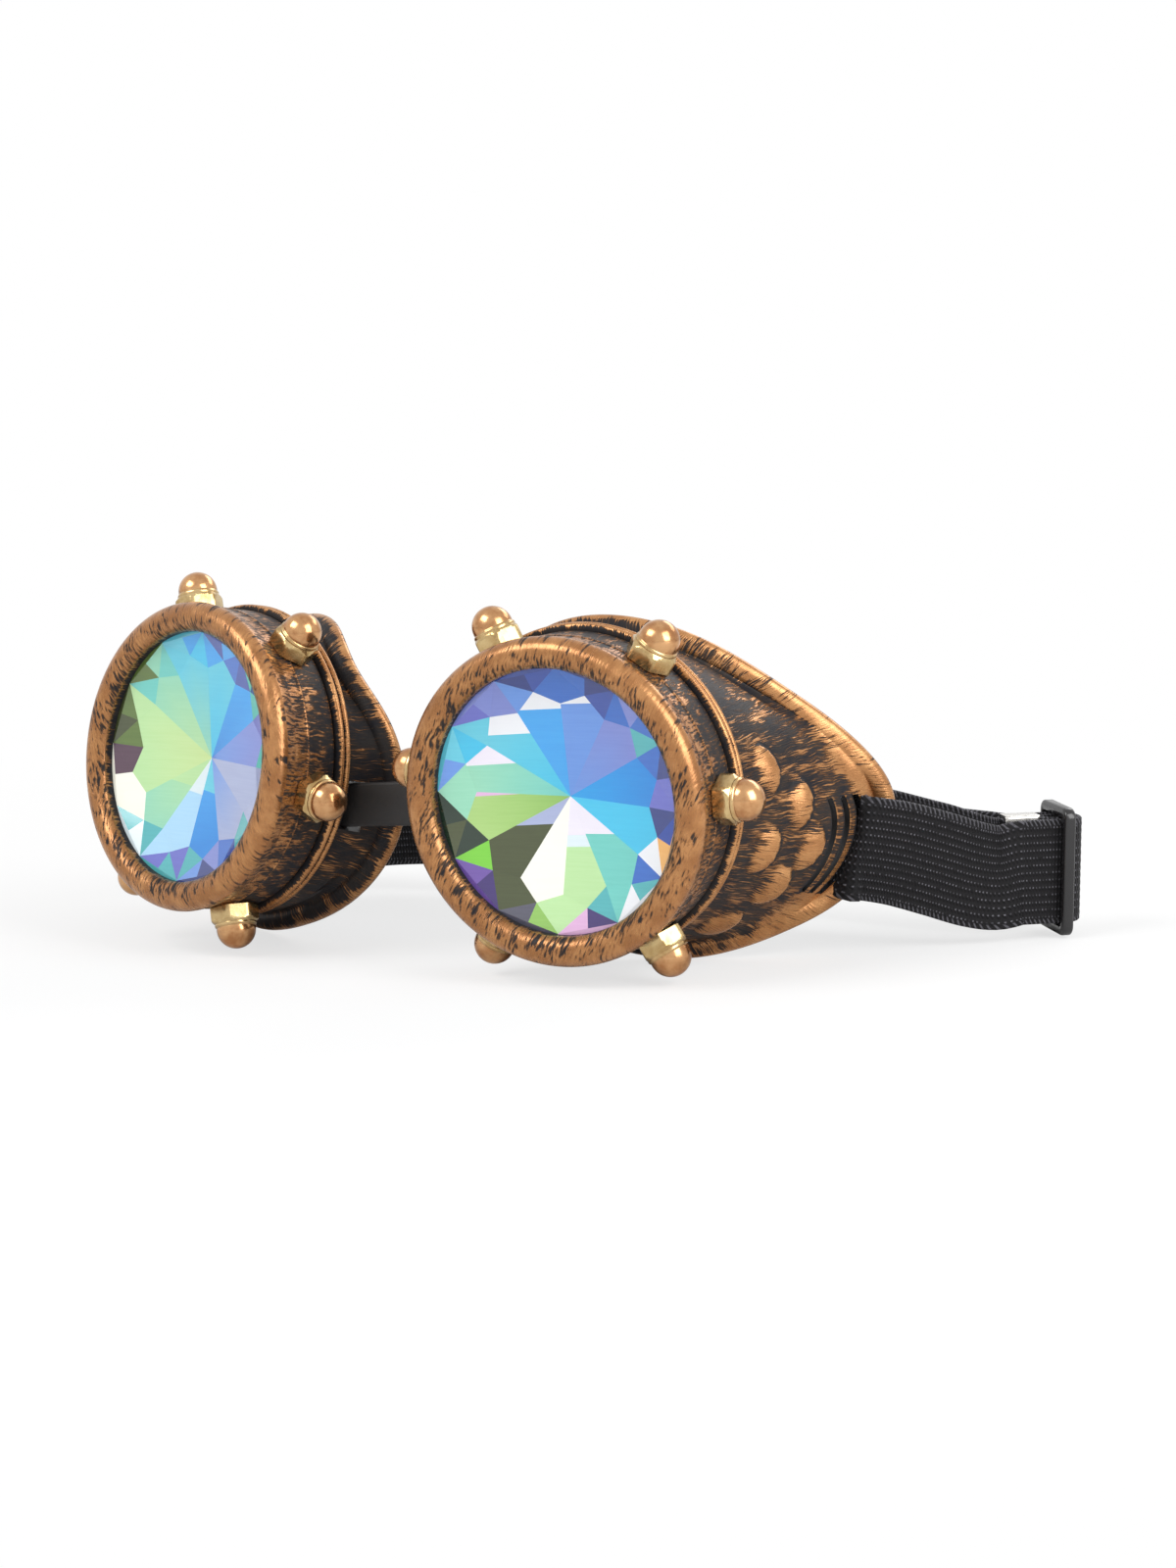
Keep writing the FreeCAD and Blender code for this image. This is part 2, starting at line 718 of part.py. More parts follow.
def strap_end_loop(right):
    """The strap's end, doubled round the slider's centre bar and drawn together at the crimp."""
    half_tail = STRAP_THICKNESS + STRAP_GAP / 2
    inner = SLIDER_BAR / 2 + STRAP_GAP
    outer = inner + STRAP_THICKNESS
    middle = FOLD_RADIUS
    outside = path([
        right.plan(LOOP_LENGTH, middle + outer),
        right.plan(CRIMP_END, middle + half_tail),
        right.plan(CRIMP_START, middle + half_tail),
        right.plan(CRIMP_START, middle - half_tail),
        right.plan(CRIMP_END, middle - half_tail),
        right.plan(LOOP_LENGTH, middle - outer),
    ])
    outside.append(arc(
        right.plan(LOOP_LENGTH, middle - outer),
        right.plan(LOOP_LENGTH + outer, middle),
        right.plan(LOOP_LENGTH, middle + outer),
    ))
    hole = path([
        right.plan(LOOP_LENGTH, middle + inner),
        right.plan(CRIMP_END, middle),
        right.plan(LOOP_LENGTH, middle - inner),
    ])
    hole.append(arc(
        right.plan(LOOP_LENGTH, middle - inner),
        right.plan(LOOP_LENGTH + inner, middle),
        right.plan(LOOP_LENGTH, middle + inner),
    ))
    return right.plate(outside, STRAP_WIDTH).cut(right.plate(hole, STRAP_WIDTH))


def strap_fold(right):
    """The strap where it goes through the slider, round its centre bar and back."""
    inner = FOLD_RADIUS - STRAP_THICKNESS / 2
    outer = FOLD_RADIUS + STRAP_THICKNESS / 2
    middle = FOLD_RADIUS
    outline = path([
        right.plan(LOOP_LENGTH, middle + outer),
        right.plan(TAIL_START, middle + outer),
        right.plan(TAIL_START, middle + inner),
        right.plan(LOOP_LENGTH, middle + inner),
    ])
    outline.append(arc(
        right.plan(LOOP_LENGTH, middle + inner),
        right.plan(LOOP_LENGTH + inner, middle),
        right.plan(LOOP_LENGTH, middle - inner),
    ))
    outline += path([
        right.plan(LOOP_LENGTH, middle - inner),
        right.plan(TAIL_START, middle - inner),
        right.plan(TAIL_START, middle - outer),
        right.plan(LOOP_LENGTH, middle - outer),
    ])
    outline.append(arc(
        right.plan(LOOP_LENGTH, middle - outer),
        right.plan(LOOP_LENGTH + outer, middle),
        right.plan(LOOP_LENGTH, middle + outer),
    ))
    return right.plate(outline, STRAP_WIDTH)


def slider_crimp(right):
    """A bright metal clip folded round the strap's doubled end."""
    inner = STRAP_THICKNESS + STRAP_GAP / 2
    outer = inner + CRIMP_SHEET
    start = CRIMP_START + CRIMP_INSET
    end = CRIMP_END - CRIMP_INSET
    outline = right.bar(start, end, FOLD_RADIUS - outer, FOLD_RADIUS + outer)
    hollow = right.bar(start, end, FOLD_RADIUS - inner, FOLD_RADIUS + inner)
    return right.plate(outline, STRAP_WIDTH + 2 * CRIMP_SHEET).cut(right.plate(hollow, STRAP_WIDTH))


def strap_slider(right):
    """Three upright bars between two rails, set square to the strap."""
    half_bar = SLIDER_BAR / 2
    half_thick = SLIDER_BAR_THICKNESS / 2
    front = -BAR_PITCH
    back = 2 * FOLD_RADIUS + BAR_PITCH
    near = LOOP_LENGTH - half_bar
    far = LOOP_LENGTH + half_bar
    frame = right.plate(right.bar(near, far, front - half_thick, back + half_thick), SLIDER_HEIGHT)
    window_height = SLIDER_HEIGHT - 2 * SLIDER_RAIL
    window = right.plate(right.bar(near, far, front + half_thick, back - half_thick), window_height)
    foot = right.plan(LOOP_LENGTH, FOLD_RADIUS) + UP * (right.level - SLIDER_HEIGHT / 2 + SLIDER_RAIL / 2)
    centre_bar = Part.makeCylinder(half_bar, SLIDER_HEIGHT - SLIDER_RAIL, foot, UP)
    return frame.cut(window).fuse(centre_bar).removeSplitter()


class LeftLoop:
    """Where the strap's left end goes round the other cup's temple and is clipped to itself."""

    def __init__(self):
        self.temple = Temple(on_left)
        self.along = compass(LEFT_LOOP_HEADING)
        self.across = UP.cross(self.along)
        inside = self.temple.inside(-1)
        rim, heading, lean = inside[-1]
        self.inside = inside + turn(rim, heading, LEFT_LOOP_HEADING, TIP_BEND, lean)[1:]
        inner_layer = self.inside[-1][0] + self.along * LEFT_LOOP_REACH - UP * LEFT_LOOP_DROOP
        self.crimp = inner_layer + self.across * ((STRAP_THICKNESS + STRAP_GAP) / 2)

    def layer(self, side, distance):
        """Middle of a strap layer at the crimp: side 1 is the outer layer, -1 the inner one."""
        return self.crimp + self.across * (side * (STRAP_THICKNESS + STRAP_GAP) / 2) + self.along * distance


def strap_left_inner(left):
    """The left loop's layer along the inside of the temple, from the slot to the crimp."""
    stations = list(left.inside)
    rim, heading, lean = stations[-1]
    halfway = between(rim, left.layer(-1, 0), 0.5)
    stations.append((halfway, heading, leaning(lean, UP, 0.85)))
    stations.append((left.layer(-1, 0), LEFT_LOOP_HEADING, UP))
    stations.append((left.layer(-1, CRIMP_LENGTH), LEFT_LOOP_HEADING, UP))
    return strap_run(stations)


def strap_left_outer(left):
    """The left loop's layer outside the temple, from the slot, round the rim and back to the crimp."""
    flank = 180 - LEFT_FLANK_ANGLE
    stations = left.temple.outside(flank)
    leave, heading, lean = stations[-1]
    past_rim = (left.temple.outer_edge - leave).dot(compass(flank)) + LEFT_LOOP_SLACK
    stations.append((leave + compass(flank) * past_rim, flank, lean))
    stations = drawn_to(stations, left.layer(1, 0), LEFT_LOOP_HEADING)
    stations.append((left.layer(1, CRIMP_LENGTH), LEFT_LOOP_HEADING, UP))
    return strap_run(stations)


def left_strap_crimp(left):
    """The metal clip that closes the left loop."""
    inner = STRAP_THICKNESS + STRAP_GAP
    outer = inner + CRIMP_SHEET
    start = left.crimp + left.along * CRIMP_INSET
    end = left.crimp + left.along * (CRIMP_LENGTH - CRIMP_INSET)

    def block(half_thick, height):
        side = left.across * half_thick
        corners = [start - side, end - side, end + side, start + side, start - side]
        face = Part.Face(Part.Wire(path(corners)))
        return face.extrude(UP * height).translated(UP * (-height / 2))

    return block(outer, STRAP_WIDTH + 2 * CRIMP_SHEET).cut(block(inner, STRAP_WIDTH))


def strap_back_run(right, left):
    """The long stretch behind the cups, from the slider's fold to the left loop, in one easy sweep."""
    ends = (
        right.point(TAIL_START, 2 * FOLD_RADIUS, 1),
        right.point(TAIL_START - BACK_RIGHT_LEAD, 2 * FOLD_RADIUS, 1),
        left.layer(-1, CRIMP_LENGTH + BACK_LEFT_LEAD),
        left.layer(-1, CRIMP_LENGTH),
    )
    stations = []
    for k in range(BACK_STEPS + 1):
        t = k / BACK_STEPS
        u = 1 - t
        here = ends[0] * u ** 3 + ends[1] * (3 * u * u * t) + ends[2] * (3 * u * t * t) + ends[3] * t ** 3
        way = (ends[1] - ends[0]) * (u * u) + (ends[2] - ends[1]) * (2 * u * t) + (ends[3] - ends[2]) * (t * t)
        rise = STRAP_BACK_RISE * 4 * t * u
        stations.append((here + UP * rise, heading_of(way), UP))
    return strap_run(stations)


def build():
    """Every node of the part, with the middles of both openings on the x axis."""
    right = RightLoop()
    left = LeftLoop()
    cup = eye_cup()
    seal = lens_seal()
    disc = lens()
    nodes = {
        "right_eye_cup": set_right(cup),
        "left_eye_cup": set_left(cup),
        "right_lens_seal": set_right(seal),
        "left_lens_seal": set_left(seal),
        "right_lens": set_right(disc),
        "left_lens": set_left(disc),
        "nose_band": nose_band(),
        "strap_front_run": strap_front_run(right),
        "strap_inner_run": strap_inner_run(right),
        "strap_end_loop": strap_end_loop(right),
        "strap_fold": strap_fold(right),
        "strap_back_run": strap_back_run(right, left),
        "strap_left_inner": strap_left_inner(left),
        "strap_left_outer": strap_left_outer(left),
        "strap_slider": strap_slider(right),
        "slider_crimp": slider_crimp(right),
        "left_strap_crimp": left_strap_crimp(left),
    }
    for side, angles, place in (("right", RIGHT_NUT_ANGLES, set_right), ("left", LEFT_NUT_ANGLES, set_left)):
        nodes[side + "_lens_ring"] = place(lens_ring(angles))
        nodes[side + "_dome_nuts"] = place(dome_nuts(angles))
        nodes[side + "_nut_studs"] = place(nut_studs(angles))
    return nodes


def standing_place(nodes):
    """The move that stands the part on its table, with the origin at the bottom centre of its box."""
    tilt = Rotation(Vector(0, 1, 0), STAND_TILT)
    box = FreeCAD.BoundBox()
    for shape in nodes.values():
        tilted = shape.copy()
        tilted.transformShape(Placement(ORIGIN, tilt).toMatrix(), True)
        box.add(tilted.optimalBoundingBox(True, False))
    middle = Vector((box.XMin + box.XMax) / 2, (box.YMin + box.YMax) / 2, box.ZMin)
    return Placement(-middle, tilt)


def main():
    os.makedirs("parts", exist_ok=True)
    nodes = build()
    stand = standing_place(nodes).toMatrix()
    for name, shape in nodes.items():
        placed = shape.copy()
        placed.transformShape(stand, True)
        print(name, "solids", len(placed.Solids), "valid", placed.isValid(), "volume", round(placed.Volume, 1))
        placed.exportStep(os.path.join("parts", name + ".step"))


if __name__ == "__main__":
    main()
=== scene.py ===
# %% [markdown]
# # Steampunk goggles
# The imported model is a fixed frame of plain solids, each riding on a body that the joints move. This
# lesson dresses it piece by piece: painted cups, screw-on rings, faceted lenses, dome nuts, a nose band
# and a ribbed elastic strap. Everything is in metres in the frame's own axes, so nothing is fitted by eye.

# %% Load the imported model
import json
import math

import bmesh
import bpy
import numpy as np
from mathutils import Matrix, Vector


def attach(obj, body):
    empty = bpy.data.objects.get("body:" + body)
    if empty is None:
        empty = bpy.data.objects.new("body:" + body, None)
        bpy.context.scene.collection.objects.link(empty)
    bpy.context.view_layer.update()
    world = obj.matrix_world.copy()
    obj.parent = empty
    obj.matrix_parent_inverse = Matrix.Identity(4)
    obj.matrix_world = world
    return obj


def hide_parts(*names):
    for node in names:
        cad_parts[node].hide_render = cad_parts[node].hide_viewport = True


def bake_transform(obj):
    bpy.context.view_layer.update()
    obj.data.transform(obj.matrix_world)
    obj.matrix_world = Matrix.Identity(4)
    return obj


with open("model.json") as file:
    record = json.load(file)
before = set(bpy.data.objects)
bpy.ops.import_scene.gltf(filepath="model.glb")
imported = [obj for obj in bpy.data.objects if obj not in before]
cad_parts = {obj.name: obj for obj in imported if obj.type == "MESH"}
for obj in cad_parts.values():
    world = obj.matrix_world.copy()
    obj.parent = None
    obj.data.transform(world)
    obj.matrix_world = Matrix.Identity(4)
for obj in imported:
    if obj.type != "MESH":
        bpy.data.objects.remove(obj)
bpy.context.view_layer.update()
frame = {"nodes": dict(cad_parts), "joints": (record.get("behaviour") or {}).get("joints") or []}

MM = 0.001
joints = {joint["name"]: joint for joint in frame["joints"]}

# %% [markdown]
# ## Where the two cups stand
# Each cup is drawn in a frame of its own: x points to the temple, y points back along the lens axis and
# z points up, with the origin in the middle of the lens opening. One function carries such points to
# either side, so the two cups share every formula. The ring's own joint gives the origin.

# %% Cup frames
STAND_TILT = 3.2
CUP_TOE = 8.9
CUP_PITCH = {"right": 1.7, "left": -9.0}
SIDES = {"right": 1, "left": -1}


def unit(way):
    return way / np.linalg.norm(way)


def rotation(degrees, axis):
    return Matrix.Rotation(math.radians(degrees), 3, axis)


stand_tilt = rotation(STAND_TILT, "Y")


def cup_axes(side):
    return np.array(stand_tilt @ rotation(SIDES[side] * CUP_TOE, "Z") @ rotation(CUP_PITCH[side], "X"))


def on_cup(side, points):
    """Carry millimetre points of a cup's own frame to that side, in metres."""
    local = np.array(points, float) * MM
    local[..., 0] *= SIDES[side]
    return local @ cup_axes(side).T + np.array(joints[side + "_ring_turn"]["pos_m"])


for side in SIDES:
    print(side, "opening middle in mm:", np.round(on_cup(side, (0, 0, 0)) / MM, 2))

# %% [markdown]
# ## A skin made of grids
# Most pieces here are sheets that close on themselves: a profile carried round a loop, or a section
# carried along a path. A small builder collects such grids with a UV map in millimetres, so that brush
# strokes and ribs keep their real scale, and with a wear value per point that the paint reads later; on the
# cups that value also carries a painted shadow behind the raised scales.

# %% Grid builder


class Skin:
    """Points, faces, UVs in millimetres and wear values of one piece."""

    def __init__(self):
        self.points = []
        self.wear_and_shade = []
        self.faces = []
        self.uvs = []

    def add_points(self, points, wear_and_shade):
        first = len(self.points)
        points = np.asarray(points, float).reshape(-1, 3)
        self.points.extend(points.tolist())
        self.wear_and_shade.extend(np.broadcast_to(wear_and_shade, len(points)).tolist())
        return first

    def add_face(self, corners, uvs):
        self.faces.append([int(corner) for corner in corners])
        self.uvs.extend((float(u), float(v)) for u, v in uvs)

    def add_grid(self, points, around, along, wear_and_shade, round_trip=True, closed_section=True, keep=None):
        """A grid of columns round a loop and rows along a section; returns the points' numbers."""
        columns, rows = points.shape[:2]
        first = self.add_points(points, np.asarray(wear_and_shade).reshape(-1))
        number = first + np.arange(columns * rows).reshape(columns, rows)
        for i in range(columns if round_trip else columns - 1):
            k = (i + 1) % columns
            for j in range(rows if closed_section else rows - 1):
                if keep is not None and not keep[i, j]:
                    continue
                m = (j + 1) % rows
                self.add_face(
                    (number[i, j], number[k, j], number[k, m], number[i, m]),
                    ((around[i], along[i][j]), (around[i + 1], along[k][j]),
                     (around[i + 1], along[k][j + 1]), (around[i], along[i][j + 1])),
                )
        return number


def lengths_along(points, closed):
    """Running length in millimetres down each column of a grid."""
    steps = np.linalg.norm(np.diff(points, axis=1), axis=2)
    if closed:
        last = np.linalg.norm(points[:, :1] - points[:, -1:], axis=2)
        steps = np.concatenate([steps, last], axis=1)
    return np.concatenate([np.zeros((len(points), 1)), np.cumsum(steps, axis=1)], axis=1)


def face_outward(mesh):
    """Turn all faces of a closed mesh round where its volume comes out negative."""
    form = bmesh.new()
    form.from_mesh(mesh)
    if form.calc_volume(signed=True) < 0:
        bmesh.ops.reverse_faces(form, faces=form.faces)
        form.to_mesh(mesh)
    form.free()


def add_object(name, data):
    """A new object in the scene, at the origin and unturned."""
    thing = bpy.data.objects.new(name, data)
    bpy.context.scene.collection.objects.link(thing)
    return thing


def make_piece(name, skin, material, crease=50):
    """A finished object at the origin, with its place in its mesh."""
    mesh = bpy.data.meshes.new(name)
    mesh.from_pydata(skin.points, [], skin.faces)
    layer = mesh.uv_layers.new(name="strokes")
    layer.data.foreach_set("uv", np.array(skin.uvs, np.float32).ravel())
    wear_and_shade = mesh.attributes.new("wear_and_shade", "FLOAT", "POINT")
    wear_and_shade.data.foreach_set("value", np.array(skin.wear_and_shade, np.float32))
    face_outward(mesh)
    mesh.polygons.foreach_set("use_smooth", [True] * len(mesh.polygons))
    mesh.set_sharp_from_angle(angle=math.radians(crease))
    mesh.materials.append(material)
    mesh.update()
    print(name, "faces:", len(mesh.polygons))
    return add_object(name, mesh)


def dress(piece, body, node):
    """Let a piece ride on a body in place of a plain solid."""
    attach(piece, body)
    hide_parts(node)


def dress_both(name, skin, material, body, node):
    """Make one skin of the cup's own frame into a piece on either side."""
    local = np.array(skin.points)
    for side in SIDES:
        skin.points = on_cup(side, local).tolist()
        dress(make_piece(side + name, skin, material), side + body, side + node)


print("grid builder ready")

# %% [markdown]
# ## Node helpers
# Materials are built in the script. One helper adds a node and fills its inputs, whether they are plain
# values or sockets of other nodes, which keeps each finish short enough to read.

# %% Material helpers


def new_material(name):
    material = bpy.data.materials.new(name)
    material.use_nodes = True
    tree = material.node_tree
    return material, tree, tree.nodes["Principled BSDF"]


def add_node(tree, kind, settings=None, **inputs):
    """Add a node; inputs are named i0, i1 … by place or by the socket's own name."""
    node = tree.nodes.new(kind)
    for name, value in (settings or {}).items():
        setattr(node, name, value)
    for name, value in inputs.items():
        key = int(name[1:]) if name[0] == "i" and name[1:].isdigit() else name.replace("_", " ")
        socket = node.inputs[key]
        if isinstance(value, bpy.types.NodeSocket):
            tree.links.new(value, socket)
        else:
            socket.default_value = value
    return node


def set_inputs(shader, **values):
    """Set a shader's own sockets to values that are the same all over."""
    for name, value in values.items():
        shader.inputs[name.replace("_", " ")].default_value = value


def calc(tree, operation, a, b=0.0):
    return add_node(tree, "ShaderNodeMath", {"operation": operation}, i0=a, i1=b).outputs[0]


def scaled(tree, value, factor, offset=0.0):
    settings = {"operation": "MULTIPLY_ADD"}
    return add_node(tree, "ShaderNodeMath", settings, i0=value, i1=factor, i2=offset).outputs[0]


def blend_colour(tree, share, a, b):
    return add_node(tree, "ShaderNodeMix", {"data_type": "RGBA"}, i0=share, i6=a, i7=b).outputs[2]


def step_up(tree, value, low, high):
    """A smooth step from 0 at low to 1 at high."""
    settings = {"interpolation_type": "SMOOTHSTEP", "clamp": True}
    return add_node(tree, "ShaderNodeMapRange", settings, i0=value, i1=low, i2=high).outputs[0]


def own_place(tree):
    """Where a point lies on its piece, in metres."""
    return add_node(tree, "ShaderNodeTexCoord").outputs["Object"]


def attribute(tree, name, output="Fac"):
    return add_node(tree, "ShaderNodeAttribute", {"attribute_name": name}).outputs[output]


def noise(tree, vector, size, detail=3.0, roughness=0.6):
    """Noise with a grain of so many units along each axis, or the same along all three."""
    size = size if isinstance(size, tuple) else (size, size, size)
    spread = add_node(tree, "ShaderNodeMapping", i0=vector, i3=tuple(1.0 / s for s in size)).outputs[0]
    return add_node(tree, "ShaderNodeTexNoise", Vector=spread, Scale=1.0, Detail=detail,
                    Roughness=roughness).outputs["Fac"]


def link(tree, output, shader, name):
    tree.links.new(output, shader.inputs[name])


def bump(tree, shader, height, distance, strength=1.0):
    node = add_node(tree, "ShaderNodeBump", Height=height, Distance=distance, Strength=strength)
    link(tree, node.outputs[0], shader, "Normal")


def linear(*screen):
    """A colour as seen on a screen, as the linear values that a shader takes."""
    return tuple(c / 12.92 if c <= 0.04045 else ((c + 0.055) / 1.055) ** 2.4 for c in screen) + (1.0,)


print("helpers ready")

# %% [markdown]
# ## Dry-brushed paint
# The cups and rings are black mouldings with copper paint dragged over them on a nearly dry brush. It
# could be drawn by hand, but a stretched noise gives the same combed strokes at any place: the UV map runs
# along the brush, and each point's wear value says how much copper sticks there. Behind the raised scales
# the same value also holds a painted shadow, where it is set to black paint.

# %% Dry-brushed copper paint
BLACK_PAINT = linear(0.15, 0.15, 0.165)
BROWN_PAINT = linear(0.19, 0.178, 0.175)
COPPER_HAZE = linear(0.38, 0.275, 0.185)
CUP_COPPER = (linear(0.645, 0.445, 0.27), linear(0.745, 0.545, 0.35))
# The ring's copper is the cup's copper made a little darker: painted shade, as the ring's front catches less
# light.
RING_SHADED_COPPER = (linear(0.595, 0.40, 0.235), linear(0.70, 0.50, 0.315))
COPPER_LEVEL = 0.85
STROKE_EDGE, HAZE_EDGE, FULL_COAT = (-0.03, 0.045), (-0.17, 0.0), (0.0, 0.2)
PATCH_SHARE, HAZE_SHARE, METAL_SHARE = 0.7, 0.42, 0.6
CLOUD_SIZE, STROKE_RELIEF = 0.005, 0.00008
UNPAINTED = 0.1


def dry_brushed(name, tones, stroke, patch, sway_by, gain):
    """Copper strokes over black; stroke, patch and sway are (across, along) in millimetres."""
    material, tree, shader = new_material(name)
    uv = add_node(tree, "ShaderNodeUVMap", {"uv_map": "strokes"}).outputs[0]
    wear_and_shade = attribute(tree, "wear_and_shade")
    sway = add_node(tree, "ShaderNodeTexNoise", Vector=uv, Scale=0.25, Detail=1.0).outputs["Color"]
    sway = add_node(tree, "ShaderNodeVectorMath", {"operation": "MULTIPLY_ADD"},
                    i0=sway, i1=sway_by + (0.0,), i2=uv).outputs[0]
    fine = noise(tree, sway, stroke + (1.0,), detail=2.0, roughness=0.55)
    broad = noise(tree, sway, patch + (1.0,), detail=2.0)
    grain = scaled(tree, broad, PATCH_SHARE, fine)
    lift = scaled(tree, wear_and_shade, gain, -0.5 * gain - COPPER_LEVEL)
    level = calc(tree, "ADD", grain, lift)
    copper = step_up(tree, level, *STROKE_EDGE)
    cloud = step_up(tree, noise(tree, own_place(tree), CLOUD_SIZE), 0.35, 0.65)
    under = blend_colour(tree, cloud, BLACK_PAINT, BROWN_PAINT)
    under = blend_colour(tree, scaled(tree, step_up(tree, level, *HAZE_EDGE), HAZE_SHARE), under, COPPER_HAZE)
    over = blend_colour(tree, cloud, *tones)
    over = blend_colour(tree, step_up(tree, level, *FULL_COAT), tones[0], over)
    link(tree, blend_colour(tree, copper, under, over), shader, "Base Color")
    link(tree, scaled(tree, copper, METAL_SHARE), shader, "Metallic")
    rough = scaled(tree, copper, -0.1, scaled(tree, fine, 0.25, 0.24))
    link(tree, rough, shader, "Roughness")
    bare = step_up(tree, scaled(tree, wear_and_shade, -1.0), -0.02, 0.08)
    shine = scaled(tree, bare, 0.5, scaled(tree, copper, 0.42, 0.08))
    link(tree, shine, shader, "Specular IOR Level")
    bump(tree, shader, calc(tree, "ADD", copper, fine), STROKE_RELIEF)
    return material


cup_paint = dry_brushed("cup_paint", CUP_COPPER, (0.3, 3.8), (3.2, 9.0), (1.6, 0.8), 0.62)
ring_paint = dry_brushed("ring_paint", RING_SHADED_COPPER, (0.42, 2.2), (2.4, 5.0), (1.0, 0.6), 0.62)
print("paints:", cup_paint.name, ring_paint.name)

# %% [markdown]
# ## The rim loop
# A cup starts as a round collar and flares to a rim shaped to the face: high at the brow, long at the
# temple and cut back at the nose. The rim is a smooth closed curve through a few measured points. Every
# other loop of the cup follows from it, drawn in towards the lens axis or set back along it.

# %% Rim and collar loops
RIM_OUTLINE = np.array((
    (43.2, 46.8, -5.3), (37.7, 42.3, 6.2), (27.5, 35.8, 15.8), (15.0, 30.3, 24.2), (1.0, 26.5, 28.5),
    (-11.5, 22.4, 27.2), (-21.5, 19.6, 19.8), (-29.0, 21.3, 12.0), (-33.3, 23.8, 1.0), (-32.2, 24.8, -10.0),
    (-23.0, 24.8, -22.5), (-8.5, 25.4, -30.0), (11.5, 29.1, -32.8), (27.5, 35.9, -27.6), (37.0, 41.8, -21.0),
))
RIM_STEPS = np.linalg.norm(np.roll(RIM_OUTLINE, -1, axis=0) - RIM_OUTLINE, axis=1)
RIM_LENGTH = RIM_STEPS.sum()
RIM_PLACES = np.concatenate([[0.0], np.cumsum(RIM_STEPS) / RIM_LENGTH])


def closed_curve(points, places):
    """Values at places round a smooth closed curve through the points."""
    count = len(points)
    step = np.diff(RIM_PLACES)
    matrix = np.zeros((count, count))
    pull = np.zeros((count, 3))
    for i in range(count):
        before, after = (i - 1) % count, (i + 1) % count
        matrix[i, before] += step[before]
        matrix[i, i] += 2 * (step[before] + step[i])
        matrix[i, after] += step[i]
        pull[i] = 6 * ((points[after] - points[i]) / step[i] - (points[i] - points[before]) / step[before])
    bend = np.linalg.solve(matrix, pull)
    place = np.asarray(places) % 1.0
    k = np.clip(np.searchsorted(RIM_PLACES, place, "right") - 1, 0, count - 1)
    n = (k + 1) % count
    h = step[k][:, None]
    a = (RIM_PLACES[k + 1] - place)[:, None]
    b = (place - RIM_PLACES[k])[:, None]
    return (bend[k] * a ** 3 / (6 * h) + bend[n] * b ** 3 / (6 * h)
            + (points[k] / h - bend[k] * h / 6) * a + (points[n] / h - bend[n] * h / 6) * b)


def rim_loop(places, inward, setback):
    reach = np.hypot(RIM_OUTLINE[:, 0], RIM_OUTLINE[:, 2])
    share = (reach - inward) / reach
    points = RIM_OUTLINE * np.stack([share, np.ones(len(share)), share], axis=1)
    return closed_curve(points + np.array((0, setback, 0)), places)


def collar_loop(places, radius, setback):
    """A true circle whose points lie on the same rays as the rim's."""
    rays = closed_curve(RIM_OUTLINE * np.array((1, 0, 1)), places)
    rays /= np.linalg.norm(rays, axis=1)[:, None]
    return rays * radius + np.array((0, setback, 0))


SHELL_RADIUS, SHELL_FRONT, SHELL_WALL = 27.883, 15.2, 2.2
RIM_LIP, RIM_SETBACK, RIM_THICKNESS = 3.0, 1.2, 2.0


def shield(places, shares):
    """Outside of the shell: share 0 at the collar, 1 at the rim's neck."""
    front = collar_loop(places, SHELL_RADIUS, SHELL_FRONT)
    back = rim_loop(places, RIM_LIP, -RIM_SETBACK)
    return front + (back - front) * np.asarray(shares)[:, None]


def lining(places, shares):
    front = collar_loop(places, SHELL_RADIUS - SHELL_WALL, SHELL_FRONT)
    back = rim_loop(places, RIM_LIP + SHELL_WALL, RIM_THICKNESS)
    return front + (back - front) * np.asarray(shares)[:, None]


print("rim length in mm:", round(RIM_LENGTH, 1))

# %% [markdown]
# ## The eye cup
# One closed profile is carried round the rim loop: thread land, flange with its double bead, side wall,
# flared rim, lining and bore. The strap slots and the nose slot are rows and columns of that grid left
# open and walled through. The raised scales on the temple are pushed out of the wall itself, steep at the
# back and fading at the front, so the paint can catch their crests.

# %% Cup rows and columns
SLOT_SHARES = ((0.68, 0.80), (0.775, 0.885), (0.87, 0.97))
SLOT_PLACES = (-0.088, 0.006)
SLOT_ENDS = (-0.0916, 0.0096)
SLOT_HALVES = (0.020, 0.020, 0.024)
NOSE_SLOT_SHARES = (0.125, 0.60)
NOSE_SLOT_HEIGHTS = (-0.6, -9.8)
COLUMN_STEP, ROW_STEP, FIRST_ROW = 0.0026, 0.0165, 0.012
SLOT_LEAN_FADE = 0.06


def nose_place(height):
    """Place on the nose side of the wall at a height in the cup's frame."""
    places = np.linspace(0.4, 0.62, 400)
    points = shield(places, np.full(len(places), 0.4))
    return places[np.argmin(abs(points[:, 2] - height))]


def in_steps(stops, step):
    """Values from stop to stop, evenly spaced between each pair and never further apart than the step."""
    values = []
    for a, b in zip(stops, stops[1:]):
        count = max(1, math.ceil((b - a) / step))
        values.extend(a + (b - a) * k / count for k in range(count))
    return np.array(values + [stops[-1]])


nose_ends = tuple(nose_place(height) for height in NOSE_SLOT_HEIGHTS)
cup_places = in_steps(SLOT_ENDS + nose_ends + (1.0 + SLOT_ENDS[0],), COLUMN_STEP)[:-1]
slot_rows = [sum(pair) / 2 + side * half for pair, half in zip(SLOT_SHARES, SLOT_HALVES) for side in (-1, 1)]
wall_rows = in_steps((FIRST_ROW,) + NOSE_SLOT_SHARES + tuple(slot_rows) + (1.0,), ROW_STEP)
print("columns:", len(cup_places), "wall rows:", len(wall_rows))


